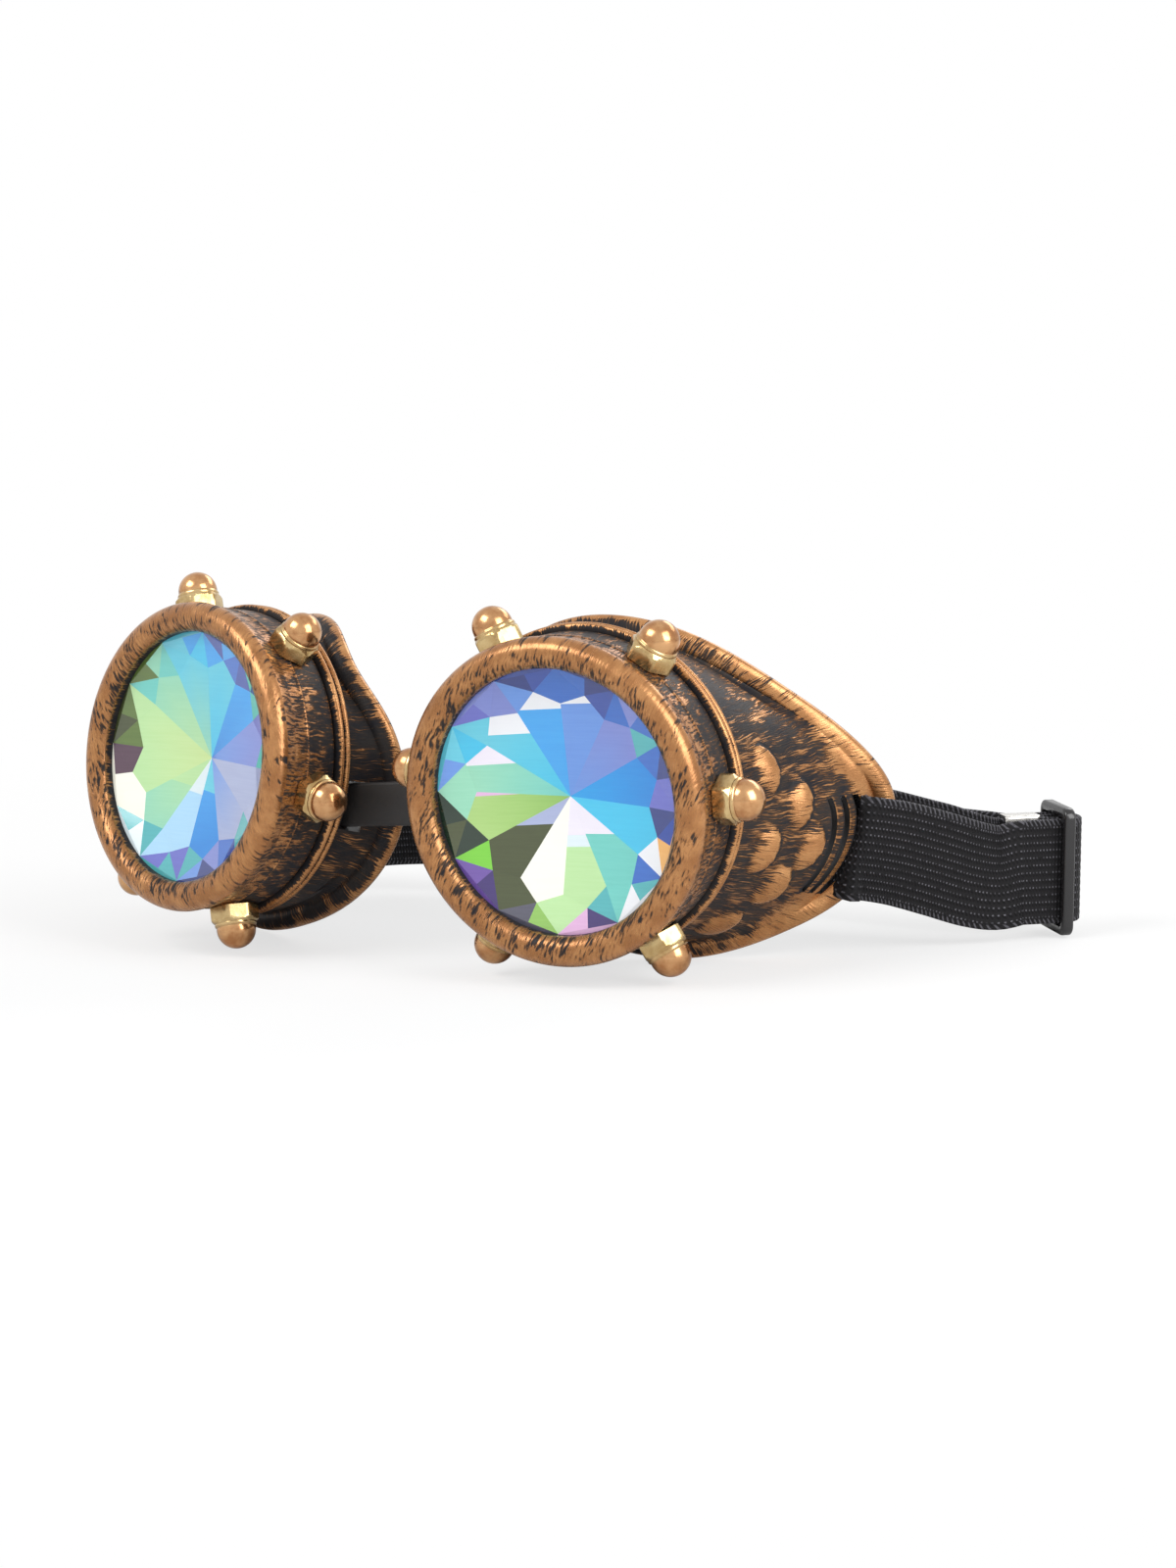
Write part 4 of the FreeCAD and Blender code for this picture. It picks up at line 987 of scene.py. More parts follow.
def nut_skin():
    angle = 2 * math.pi * np.arange(NUT_COLUMNS) / NUT_COLUMNS
    hexes = hexagon(angle)
    rounds = np.ones(NUT_COLUMNS)
    rows = [(hexes - 0.25, 0.0, 0.0), (hexes, 0.25, 0.0), (hexes, 1.4, 0.0), (hexes, 2.35, 0.0)]
    for height, most in ((2.65, 4.46), (2.9, 4.2), (NUT_HEX_HEIGHT, 3.9)):
        rows.append((np.minimum(hexes, most), height, 0.0))
    rows += [(rounds * 3.84, 3.28, 0.1), (rounds * 3.88, 3.45, 0.15), (rounds * 3.86, 3.7, 0.2),
             (rounds * 3.78, 3.84, 0.3), (rounds * 3.66, 3.92, 0.5), (rounds * 3.6, 4.05, 0.8)]
    base = NUT_HEIGHT - NUT_DOME_RADIUS
    for k in range(DOME_STEPS):
        lift = math.pi / 2 * k / DOME_STEPS
        rows.append((rounds * NUT_DOME_RADIUS * math.cos(lift), base + NUT_DOME_RADIUS * math.sin(lift), 1.0))
    points = np.empty((NUT_COLUMNS, len(rows), 3))
    for j, (radius, height, _) in enumerate(rows):
        points[:, j, 0] = radius * np.cos(angle)
        points[:, j, 1] = radius * np.sin(angle)
        points[:, j, 2] = height
    wear_and_shade = np.broadcast_to([row[2] for row in rows], points.shape[:2])
    around = np.arange(NUT_COLUMNS + 1) * (2 * math.pi * 3.5 / NUT_COLUMNS)
    along = lengths_along(points, False)
    along = np.concatenate([along, along[:, -1:]], axis=1)
    skin = Skin()
    number = skin.add_grid(points, around, along, wear_and_shade, closed_section=False)
    top = skin.add_points([(0, 0, NUT_HEIGHT)], 1.0)
    foot = skin.add_points([(0, 0, 0)], 0.0)
    for i in range(NUT_COLUMNS):
        k = (i + 1) % NUT_COLUMNS
        skin.add_face((number[i, -1], number[k, -1], top), ((0, 0), (0.3, 0), (0.1, 0.4)))
        skin.add_face((number[k, 0], number[i, 0], foot), ((0, 0), (0.3, 0), (0.1, 0.4)))
    skin.points = (np.array(skin.points) * MM).tolist()
    return skin


print("nut across flats in mm:", NUT_FLATS, "height:", NUT_HEIGHT)

# %% Nut finish
nut_metal, tree, shader = new_material("nut_metal")
dome = attribute(tree, "wear_and_shade")
where = own_place(tree)
tarnish = step_up(tree, noise(tree, where, 0.003), 0.35, 0.7)
brass = blend_colour(tree, tarnish, linear(0.79, 0.69, 0.50), linear(0.67, 0.55, 0.36))
coppery = blend_colour(tree, tarnish, linear(0.79, 0.61, 0.43), linear(0.66, 0.46, 0.30))
link(tree, blend_colour(tree, dome, brass, coppery), shader, "Base Color")
set_inputs(shader, Metallic=0.92)
scratch = noise(tree, where, 0.002, detail=2.0)
link(tree, scaled(tree, scratch, 0.16, 0.12), shader, "Roughness")
bump(tree, shader, noise(tree, where, 0.0018, detail=2.0), 0.00002)
print("nut finish:", nut_metal.name)

# %% Set the nuts with Geometry Nodes
NUT_ANGLES = {
    "right": (3.0, 59.2, 118.6, 176.0, 239.8, 304.2),
    "left": (9.0, 70.0, 128.4, 187.4, 251.0, 309.2),
}
NUT_SETBACK, NUT_CREASE = 8.0, 28


def nut_tree():
    """Seats in, nuts out: each seat names its outward direction and the lens axis."""
    tree = bpy.data.node_groups.new("nuts_round_a_ring", "GeometryNodeTree")
    sockets = (("Geometry", "NodeSocketGeometry"), ("Nut", "NodeSocketObject"),
               ("Size", "NodeSocketFloat"), ("Finish", "NodeSocketMaterial"))
    for name, kind in sockets:
        tree.interface.new_socket(name, in_out="INPUT", socket_type=kind)
    tree.interface.new_socket("Geometry", in_out="OUTPUT", socket_type="NodeSocketGeometry")
    given = tree.nodes.new("NodeGroupInput")
    result = tree.nodes.new("NodeGroupOutput")
    nut = add_node(tree, "GeometryNodeObjectInfo", i0=given.outputs["Nut"])
    ways = []
    for name in ("outward", "axis"):
        way = add_node(tree, "GeometryNodeInputNamedAttribute", {"data_type": "FLOAT_VECTOR"}, Name=name)
        ways.append(way.outputs["Attribute"])
    turn = tree.nodes.new("FunctionNodeAxesToRotation")
    turn.primary_axis, turn.secondary_axis = "Z", "X"
    tree.links.new(ways[0], turn.inputs[0])
    tree.links.new(ways[1], turn.inputs[1])
    setting = add_node(tree, "GeometryNodeInstanceOnPoints", Points=given.outputs["Geometry"],
                       Instance=nut.outputs["Geometry"], Rotation=turn.outputs[0],
                       Scale=given.outputs["Size"])
    real = add_node(tree, "GeometryNodeRealizeInstances", i0=setting.outputs[0])
    finish = add_node(tree, "GeometryNodeSetMaterial", Geometry=real.outputs[0],
                      Material=given.outputs["Finish"])
    tree.links.new(finish.outputs[0], result.inputs[0])
    return tree


def plain_mesh(holder, name):
    """The evaluated result of a modifier as a plain object, with the holder removed."""
    bpy.context.view_layer.update()
    graph = bpy.context.evaluated_depsgraph_get()
    mesh = bpy.data.meshes.new_from_object(holder.evaluated_get(graph))
    bpy.data.objects.remove(holder)
    mesh.name = name
    print(name, "faces:", len(mesh.polygons))
    return add_object(name, mesh)


def set_input(modifier, name, value):
    for item in modifier.node_group.interface.items_tree:
        if item.in_out == "INPUT" and item.name == name:
            modifier[item.identifier] = value


one_nut = make_piece("one_nut", nut_skin(), nut_metal, crease=NUT_CREASE)
nuts_tree = nut_tree()
for side in SIDES:
    seats, outward = [], []
    for degrees in NUT_ANGLES[side]:
        way = np.array((math.cos(math.radians(degrees)), 0, math.sin(math.radians(degrees))))
        seats.append(way * RING_RADIUS + np.array((0, NUT_SETBACK, 0)))
        outward.append(way)
    seats = on_cup(side, seats)
    origin = on_cup(side, (0, 0, 0))
    mesh = bpy.data.meshes.new("seats")
    mesh.from_pydata(seats.tolist(), [], [])
    ways = (on_cup(side, outward) - origin) / MM
    axis = np.broadcast_to((on_cup(side, (0, 1, 0)) - origin) / MM, ways.shape)
    for name, values in (("outward", ways), ("axis", axis)):
        layer = mesh.attributes.new(name, "FLOAT_VECTOR", "POINT")
        layer.data.foreach_set("vector", np.array(values, np.float32).ravel())
    holder = add_object("seats", mesh)
    modifier = holder.modifiers.new("nuts", "NODES")
    modifier.node_group = nuts_tree
    set_input(modifier, "Nut", one_nut)
    set_input(modifier, "Size", 1.0)
    set_input(modifier, "Finish", nut_metal)
    piece = plain_mesh(holder, side + "_set_nuts")
    piece.data.set_sharp_from_angle(angle=math.radians(NUT_CREASE))
    dress(piece, side + "_ring", side + "_dome_nuts")
bpy.data.objects.remove(one_nut)

# %% [markdown]
# ## Ribbed elastic
# The head strap is a woven elastic with about fourteen ribs along it and a knit of small loops between
# them. It is one band, drawn in stretches; some ride on the slider or the left cup. Each stretch is a ribbed
# section
# carried along a smooth path: real ribs make the scalloped outline where the strap folds round the slider,
# and the knit is small enough to leave to the material.

# %% Elastic finish
STRAP_WIDTH, STRAP_THICKNESS, STRAP_RIBS = 19.0, 1.3, 14
RIB_PITCH = STRAP_WIDTH / STRAP_RIBS
LOOP_PITCH, EDGE_PITCH, PLAIN_EDGE = 0.62, 0.85, (8.3, 8.7)
elastic, tree, shader = new_material("elastic")
uv = add_node(tree, "ShaderNodeUVMap", {"uv_map": "strokes"}).outputs[0]
parts = add_node(tree, "ShaderNodeSeparateXYZ", i0=uv)
rib = calc(tree, "MULTIPLY", parts.outputs[0], 2 * math.pi / RIB_PITCH)
run = calc(tree, "MULTIPLY", parts.outputs[1], 2 * math.pi / LOOP_PITCH)
crest = calc(tree, "COSINE", rib)
slant = calc(tree, "ADD", run, calc(tree, "MULTIPLY", crest, 1.2))
knit = calc(tree, "SINE", slant)
row = step_up(tree, crest, 0.6, 0.97)
speck = calc(tree, "MULTIPLY", row, step_up(tree, knit, 0.1, 0.8))
uneven = noise(tree, uv, (1.1, 0.9, 1.0), detail=2.0)
speck = calc(tree, "MULTIPLY", speck, step_up(tree, uneven, 0.3, 0.65))
edge = step_up(tree, calc(tree, "ABSOLUTE", parts.outputs[0]), *PLAIN_EDGE)
loop = calc(tree, "MULTIPLY", parts.outputs[1], 2 * math.pi / EDGE_PITCH)
loop = calc(tree, "SINE", calc(tree, "ADD", loop, calc(tree, "MULTIPLY", parts.outputs[0], 4.0)))
loop = calc(tree, "MULTIPLY", edge, step_up(tree, loop, 0.2, 0.8))
speck = calc(tree, "MAXIMUM", speck, calc(tree, "MULTIPLY", loop, 0.6))
dark = blend_colour(tree, uneven, linear(0.05, 0.048, 0.053), linear(0.085, 0.08, 0.09))
link(tree, blend_colour(tree, speck, dark, linear(0.40, 0.395, 0.42)), shader, "Base Color")
set_inputs(shader, Roughness=0.7, Specular_IOR_Level=0.2, Sheen_Weight=0.03, Sheen_Roughness=0.4)
woven = calc(tree, "ADD", calc(tree, "MULTIPLY", knit, 0.6), calc(tree, "MULTIPLY", crest, 0.4))
bump(tree, shader, woven, 0.00009, 0.9)
print("elastic:", elastic.name)

# %% Strap sections and paths
RIB_HEIGHT = 0.05


def strap_profile():
    """The ribbed section as (across, through) in millimetres, once round."""
    half = STRAP_WIDTH / 2
    flat = half - 0.35
    across = np.linspace(-flat, flat, STRAP_RIBS * 6 + 1)
    through = STRAP_THICKNESS / 2 - RIB_HEIGHT * (1 - np.cos(2 * math.pi * across / RIB_PITCH)) / 2
    front = np.stack([across, through], 1)
    edge = [(half - 0.1, 0.42), (half, 0.15), (half, -0.15), (half - 0.1, -0.42)]
    back = front[::-1] * (1, -1)
    other = [(-x, t) for x, t in edge[::-1]]
    return np.concatenate([front, edge, back, other])


def smooth_path(stations, step, first_way=None, last_way=None):
    """Points and width directions along an easy curve through the stations, a step apart."""
    spots, leans = np.moveaxis(np.array(stations, float), 1, 0)
    knots = np.concatenate([[0.0], np.cumsum(np.linalg.norm(np.diff(spots, axis=0), axis=1) ** 0.5)])
    slopes = np.gradient(spots, knots, axis=0)
    for end, given in ((0, first_way), (-1, last_way)):
        if given is not None:
            slopes[end] = np.array(given) * np.linalg.norm(slopes[end])
    fine = []
    for i in range(len(spots) - 1):
        span = knots[i + 1] - knots[i]
        count = max(2, math.ceil(np.linalg.norm(spots[i + 1] - spots[i]) / (step / 4)))
        for t in np.arange(count) / count:
            a, b = (1 + 2 * t) * (1 - t) ** 2, t * (1 - t) ** 2
            c, d = t * t * (3 - 2 * t), t * t * (t - 1)
            here = spots[i] * a + slopes[i] * (b * span) + spots[i + 1] * c + slopes[i + 1] * (d * span)
            fine.append(np.concatenate([here, leans[i] + (leans[i + 1] - leans[i]) * t]))
    fine.append(np.concatenate([spots[-1], leans[-1]]))
    fine = np.array(fine)
    length = np.concatenate([[0.0], np.cumsum(np.linalg.norm(np.diff(fine[:, :3], axis=0), axis=1))])
    marks = np.linspace(0, length[-1], max(3, math.ceil(length[-1] / step) + 1))
    return np.stack([np.interp(marks, length, fine[:, k]) for k in range(6)], axis=1), marks


def swept(profile, path, marks, first_way=None, last_way=None, skin=None):
    """Carry a section along a path; the ends are closed."""
    spots, leans = path[:, :3], path[:, 3:]
    way = np.gradient(spots, axis=0)
    way /= np.linalg.norm(way, axis=1)[:, None]
    for end, given in ((0, first_way), (-1, last_way)):
        if given is not None:
            way[end] = given
    through = np.cross(leans, way)
    through /= np.linalg.norm(through, axis=1)[:, None]
    wide = np.cross(way, through)
    points = spots[:, None] + wide[:, None] * profile[None, :, :1] + through[:, None] * profile[None, :, 1:]
    skin = skin or Skin()
    first = skin.add_points(points * MM, 0.5)
    rows, count = points.shape[:2]
    number = first + np.arange(rows * count).reshape(rows, count)
    for i in range(rows - 1):
        for j in range(count):
            m = (j + 1) % count
            skin.add_face((number[i, j], number[i, m], number[i + 1, m], number[i + 1, j]),
                          ((profile[j, 0], marks[i]), (profile[m, 0], marks[i]),
                           (profile[m, 0], marks[i + 1]), (profile[j, 0], marks[i + 1])))
    skin.add_face(number[0][::-1], [(x, marks[0]) for x in profile[::-1, 0]])
    skin.add_face(number[-1], [(x, marks[-1]) for x in profile[:, 0]])
    return skin


profile = strap_profile()
print("section points:", len(profile))

# %% [markdown]
# ## The strap's route
# From the rearmost slot of the right cup the strap runs back to the slider, goes round its middle bar and
# returns behind the cups to the left temple, where it loops through the slot and is clipped to itself. A
# second layer comes back from the slot, inside the temple, to a crimped end round the same bar. The route
# could be drawn by hand. Here it is worked out from the cups, the way a strap finds its own way: out of a
# slot, round a bend to a new heading and straight on.

# %% Headings and bends
ACROSS_FACE, TO_BACK, UP = np.array(stand_tilt).T
STRAP_GAP, STRAP_BEND, TIP_BEND = 0.3, 1.6, 3.5


def compass(heading):
    """The level direction at so many degrees from the line across the face towards the back."""
    angle = math.radians(heading)
    return ACROSS_FACE * math.cos(angle) + TO_BACK * math.sin(angle)


def heading_of(way):
    return math.degrees(math.atan2(way @ TO_BACK, way @ ACROSS_FACE))


def turn(spot, heading, end_heading, radius):
    """The start, middle and end of a level bend from one heading to another."""
    sweep = (end_heading - heading + 180) % 360 - 180
    side = math.copysign(90, sweep)
    centre = spot + compass(heading + side) * radius
    return [centre - compass(heading + sweep * share + side) * radius for share in (0, 0.5, 1)]


def drawn_to(spots, heading, end):
    """Carry a run on round the bend that points it at its end."""
    leave = spots[-1]
    for _ in range(3):
        bend = turn(spots[-1], heading, heading_of(end - leave), TIP_BEND)
        leave = bend[-1]
    return spots + bend[1:]


print("line across the face:", np.round(ACROSS_FACE, 3))

# %% Strap slots at the temples


class Temple:
    """The rearmost strap slot of one cup and the rim behind it, in millimetres of the frame."""

    def __init__(self, side):
        place, share = sum(SLOT_PLACES) / 2, sum(SLOT_SHARES[-1]) / 2
        ends = (np.array(SLOT_PLACES[::-1]), np.array(SLOT_SHARES[-1]))
        top, bottom = shield(*ends)
        lean = unit(top - bottom)
        middle, _, _, out = scale_frame(place, share)
        out = unit(out - lean * (out @ lean))
        mouth, inner_edge = lining(np.array((place, place)), np.array((share, 1.0)))
        outer_edge = rim_loop(np.array((place,)), 0.0, RIM_THICKNESS)[0]
        self.side = SIDES[side]
        self.wall = (middle - mouth) @ out
        self.clear = max((middle - end) @ out for end in lining(*ends)) - self.wall + 2 * STRAP_GAP
        carried = on_cup(side, (middle, middle + lean, middle + out, inner_edge, outer_edge)) / MM
        self.middle = carried[0]
        self.lean, self.out = carried[1] - self.middle, carried[2] - self.middle
        self.inner_edge, self.outer_edge = self.at_level(carried[3]), self.at_level(carried[4])
        self.in_wall = self.middle - self.out * (self.wall / 2)
        self.wall_way = unit(self.inner_edge - self.at_level(self.middle - self.out * self.wall))

    def at_level(self, spot):
        """The spot at the height of the slot's middle."""
        return spot + UP * ((self.middle - spot) @ UP)

    def outside(self, heading):
        """From inside the wall, out through the slot and round to a heading."""
        mouth = self.middle + self.out * STRAP_GAP
        return [self.in_wall] + turn(mouth, heading_of(self.out), heading, STRAP_BEND)

    def inside(self):
        """From inside the wall, in through the slot and back along the hollow wall to the rim."""
        heading = heading_of(self.wall_way)
        inward = heading + self.side * 90
        mouth = self.middle - self.out * (self.wall + self.clear)
        beside = self.inner_edge + compass(inward) * (STRAP_BEND + self.clear)
        return ([self.in_wall] + turn(mouth, inward, heading, STRAP_BEND)
                + [beside + self.wall_way * STRAP_BEND])

    def stations(self, spots, *ends):
        """A run that leans as its slot does, stands nearly upright half way to its end and then upright."""
        halfway = (spots[-1] + ends[0]) / 2
        leaning = [(spot, self.lean) for spot in spots] + [(halfway, unit(self.lean * 0.15 + UP * 0.85))]
        return leaning + [(end, UP) for end in ends]


right_temple, left_temple = Temple("right"), Temple("left")
print("slot middles in mm:", np.round(right_temple.middle, 2), np.round(left_temple.middle, 2))

# %% Right loop, round the slider
STRAP_HEADING, STRAP_DROOP, STRAP_SAG = 50.0, 5.8, 1.8
# The straight run is measured from a little behind the bend, as on the plain solids
LOOP_LEAD, LOOP_LENGTH, TAIL_START, FOLD_RADIUS = 0.56, 37.2, 29.2, 3.65
CRIMP_LENGTH, CRIMP_START, CRIMP_END = 7.5, 26.05, 33.55
END_LOOP_RADIUS = 2.05
LOOP_ALONG = compass(STRAP_HEADING)
LOOP_INWARD = np.cross(UP, LOOP_ALONG)
slot_route = right_temple.outside(STRAP_HEADING)
loop_origin = right_temple.at_level(slot_route[-1]) + LOOP_ALONG * LOOP_LEAD - UP * STRAP_DROOP


def loop_spot(distance, inward, height=0.0):
    """A spot so far along the front run, so far inside it and so high above the slider's middle."""
    return loop_origin + LOOP_ALONG * distance + LOOP_INWARD * inward + UP * height


def round_bar(radius, offsets):
    """Stations to the slider's middle bar, round it and back, with (distance, offset) pairs on the way."""
    spots = [loop_spot(distance, FOLD_RADIUS - inward) for distance, inward in offsets]
    for angle in np.linspace(0, math.pi, 9):
        distance, inward = radius * math.sin(angle), radius * math.cos(angle)
        spots.append(loop_spot(LOOP_LENGTH + distance, FOLD_RADIUS - inward))
    spots += [loop_spot(distance, FOLD_RADIUS + inward) for distance, inward in offsets[::-1]]
    return [(spot, UP) for spot in spots]


FRONT_RUN = [(spot, right_temple.lean) for spot in slot_route]
for share in (0.2, 0.45, 0.7, 0.85, 1.0):
    sag = STRAP_SAG * 256 / 27 * share ** 3 * (1 - share)
    upright = min(1.0, 1.4 * share)
    lean = unit(right_temple.lean * (1 - upright) + UP * upright)
    FRONT_RUN.append((loop_spot(TAIL_START * share, 0.0, STRAP_DROOP * (1 - share) - sag), lean))
crimp_mouth = loop_spot(CRIMP_START, FOLD_RADIUS)
INNER_RUN = right_temple.stations(
    drawn_to(right_temple.inside(), heading_of(right_temple.wall_way), crimp_mouth), crimp_mouth)
FOLD = round_bar(FOLD_RADIUS, ((TAIL_START, FOLD_RADIUS), (33.0, FOLD_RADIUS), (36.0, FOLD_RADIUS)))
END_LOOP = round_bar(END_LOOP_RADIUS, ((CRIMP_START, 0.8), (30.0, 0.8), (CRIMP_END, 0.85), (36.3, 1.8)))
print("fold stations:", len(FOLD), "end loop stations:", len(END_LOOP))

# %% Left loop and the run behind the cups
LEFT_LOOP_HEADING, LEFT_LOOP_REACH, LEFT_LOOP_DROOP = 40.0, 10.0, 4.0
FLANK_HEADING, LEFT_LOOP_SLACK = 120.0, 5.5
BACK_RIGHT_LEAD, BACK_LEFT_LEAD, BACK_RISE, BACK_STEPS = 20.0, 35.0, 2.2, 16
LAYER_PITCH = STRAP_THICKNESS + STRAP_GAP
LEFT_ALONG = compass(LEFT_LOOP_HEADING)
LEFT_ACROSS = np.cross(UP, LEFT_ALONG)
inside = left_temple.inside()
inside += turn(inside[-1], heading_of(left_temple.wall_way), LEFT_LOOP_HEADING, TIP_BEND)[1:]
left_crimp = inside[-1] + LEFT_ALONG * LEFT_LOOP_REACH - UP * LEFT_LOOP_DROOP
left_crimp = left_crimp + LEFT_ACROSS * (LAYER_PITCH / 2)


def left_layer(side, distance=0.0):
    """Middle of a strap layer at the left crimp: side 1 is the outer layer, -1 the inner one."""
    return left_crimp + LEFT_ACROSS * (side * LAYER_PITCH / 2) + LEFT_ALONG * distance


def back_station(share):
    """A station of the easy sweep behind the cups, from the fold to the left crimp."""
    a = loop_spot(TAIL_START, 2 * FOLD_RADIUS)
    b = loop_spot(TAIL_START - BACK_RIGHT_LEAD, 2 * FOLD_RADIUS)
    c = left_layer(-1, CRIMP_LENGTH + BACK_LEFT_LEAD)
    d = left_layer(-1, CRIMP_LENGTH)
    rest = 1 - share
    spot = a * rest ** 3 + b * (3 * rest ** 2 * share) + c * (3 * rest * share ** 2) + d * share ** 3
    return spot + UP * (4 * BACK_RISE * share * rest), UP


outside = left_temple.outside(FLANK_HEADING)
flank = compass(FLANK_HEADING)
outside.append(outside[-1] + flank * ((left_temple.outer_edge - outside[-1]) @ flank + LEFT_LOOP_SLACK))
outside = drawn_to(outside, FLANK_HEADING, left_layer(1))
LEFT_INNER = left_temple.stations(inside, left_layer(-1), left_layer(-1, CRIMP_LENGTH))
LEFT_OUTER = left_temple.stations(outside, left_layer(1), left_layer(1, CRIMP_LENGTH))
BACK_RIGHT = [back_station(k / BACK_STEPS) for k in (0, 1, 2, 4, 6, 7, 8)]
BACK_LEFT = [back_station(k / BACK_STEPS) for k in (8, 9, 11, 13, 15, 16)]
print("left crimp in mm:", np.round(left_crimp, 2))

# %% Sweep the strap
PATH_STEP = 0.8


def strap_piece(name, stations, *replaced, first_way=None, last_way=None):
    """A stretch of elastic through the stations, in place of the plain solids named."""
    path, marks = smooth_path(stations, PATH_STEP, first_way, last_way)
    print(name, "length in mm:", round(marks[-1], 1))
    piece = make_piece(name, swept(profile, path, marks, first_way, last_way), elastic, crease=60)
    if replaced:
        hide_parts(*replaced)
    return piece


front_run = strap_piece("elastic_front_run", FRONT_RUN, "strap_front_run", last_way=LOOP_ALONG)
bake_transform(front_run)
inner_run = strap_piece("elastic_inner_run", INNER_RUN, "strap_inner_run", last_way=LOOP_ALONG)
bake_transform(inner_run)
fold = strap_piece("elastic_fold", FOLD, "strap_fold", first_way=LOOP_ALONG, last_way=-LOOP_ALONG)
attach(fold, "slider")
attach(strap_piece("elastic_end_loop", END_LOOP, "strap_end_loop"), "slider")
back_right = strap_piece("elastic_back_right", BACK_RIGHT, "strap_back_run", first_way=-LOOP_ALONG)
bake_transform(back_right)
back_left = strap_piece("elastic_back_left", BACK_LEFT)
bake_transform(back_left)
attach(strap_piece("elastic_left_inner", LEFT_INNER, "strap_left_inner"), "left_cup")
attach(strap_piece("elastic_left_outer", LEFT_OUTER, "strap_left_outer"), "left_cup")

# %% [markdown]
# ## Slider and crimps
# The slider is a small glossy moulding: a frame of two upright bars and two rails, and a round middle bar.
# A rounded section carried round a closed rectangle gives the frame its soft corners in one piece. The
# crimps are clips of bright sheet metal folded flat round the strap's ends.

# %% Small finishes
FINE_RELIEF = 0.00003


def plain_finish(name, tones, grain, detail, gloss, metal=0.0, relief=None):
    """Two tones clouded by a grain; gloss is the least roughness and how far the grain adds to it."""
    material, tree, shader = new_material(name)
    where = own_place(tree)
    cloud = noise(tree, where, grain, detail=detail)
    link(tree, blend_colour(tree, cloud, linear(*tones[0]), linear(*tones[1])), shader, "Base Color")
    set_inputs(shader, Metallic=metal, Roughness=gloss[0])
    if gloss[1]:
        link(tree, scaled(tree, cloud, gloss[1], gloss[0]), shader, "Roughness")
    if relief:
        bump(tree, shader, noise(tree, where, *relief), FINE_RELIEF)
    return material


SCUFF, SKIN_GRAIN = (0.0012, 0.0012, 0.004), 0.0004
slider_plastic = plain_finish("slider_plastic", ((0.09, 0.087, 0.092), (0.14, 0.135, 0.14)),
                              SCUFF, 4.0, (0.1, 0.2), relief=(SCUFF, 4.0))
crimp_metal = plain_finish("crimp_metal", ((0.72, 0.71, 0.69), (0.90, 0.89, 0.87)),
                           (0.004, 0.004, 0.0002), 3.0, (0.15, 0.2), metal=1.0)
soft_rubber = plain_finish("soft_rubber", ((0.095, 0.09, 0.09), (0.13, 0.12, 0.12)),
                           0.008, 2.0, (0.45, 0.2), relief=(SKIN_GRAIN, 3.0))
stud_steel = plain_finish("stud_steel", ((0.60, 0.60, 0.60), (0.74, 0.74, 0.74)),
                          0.0006, 2.0, (0.35, 0.0), metal=1.0)
print("small finishes ready")

# %% Slider frame
SLIDER_HEIGHT, SLIDER_BAR, SLIDER_BAR_THICKNESS, SLIDER_RAIL = 23.2, 2.2, 1.8, 1.9
BAR_PITCH, SLIDER_CORNER, BAR_SIDES = 1.85, 1.0, 24


def round_corners(width, height, radius, steps):
    """Spots once round a rectangle with round corners, each with the direction that it faces."""
    for quarter, (sx, sy) in enumerate(((1, 1), (-1, 1), (-1, -1), (1, -1))):
        for k in range(steps + 1):
            angle = math.pi / 2 * (quarter + k / steps)
            x, y = math.cos(angle), math.sin(angle)
            yield (sx * (width / 2 - radius) + radius * x, sy * (height / 2 - radius) + radius * y), (x, y)


def rounded_section(width, thickness, radius):
    return np.array([spot for spot, _ in round_corners(width, thickness, radius, 4)])


def slider_skin():
    """The frame as a closed ring of rounded sections, and the middle bar between its rails."""
    skin = Skin()
    front, back = -BAR_PITCH, 2 * FOLD_RADIUS + BAR_PITCH
    middle = (front + back) / 2
    high = SLIDER_HEIGHT - SLIDER_RAIL
    section = rounded_section(SLIDER_BAR, 1.0, 0.45)
    points = []
    for (inward, height), (way_in, way_up) in round_corners(back - front, high, SLIDER_CORNER, 6):
        thick = SLIDER_BAR_THICKNESS + (SLIDER_RAIL - SLIDER_BAR_THICKNESS) * abs(way_up)
        ring = [loop_spot(LOOP_LENGTH + a, middle + inward + b * thick * way_in, height + b * thick * way_up)
                for a, b in section]
        points.append(ring)
    points = np.array(points) * MM
    around = np.arange(len(points) + 1) * 2.0
    skin.add_grid(points, around, lengths_along(points / MM, True), np.full(points.shape[:2], 0.5))
    angle = 2 * math.pi * np.arange(BAR_SIDES) / BAR_SIDES
    bar = np.stack([np.cos(angle), np.sin(angle)], axis=1) * (SLIDER_BAR / 2)
    ends = [(loop_spot(LOOP_LENGTH, FOLD_RADIUS, height), LOOP_ALONG) for height in (-high / 2, 0, high / 2)]
    path, marks = smooth_path(ends, 6.0)
    return swept(bar, path, marks, skin=skin)


piece = make_piece("moulded_slider", slider_skin(), slider_plastic, crease=60)
dress(piece, "slider", "strap_slider")

# %% Crimps
CRIMP_SHEET, CRIMP_INSET = 0.5, 0.5


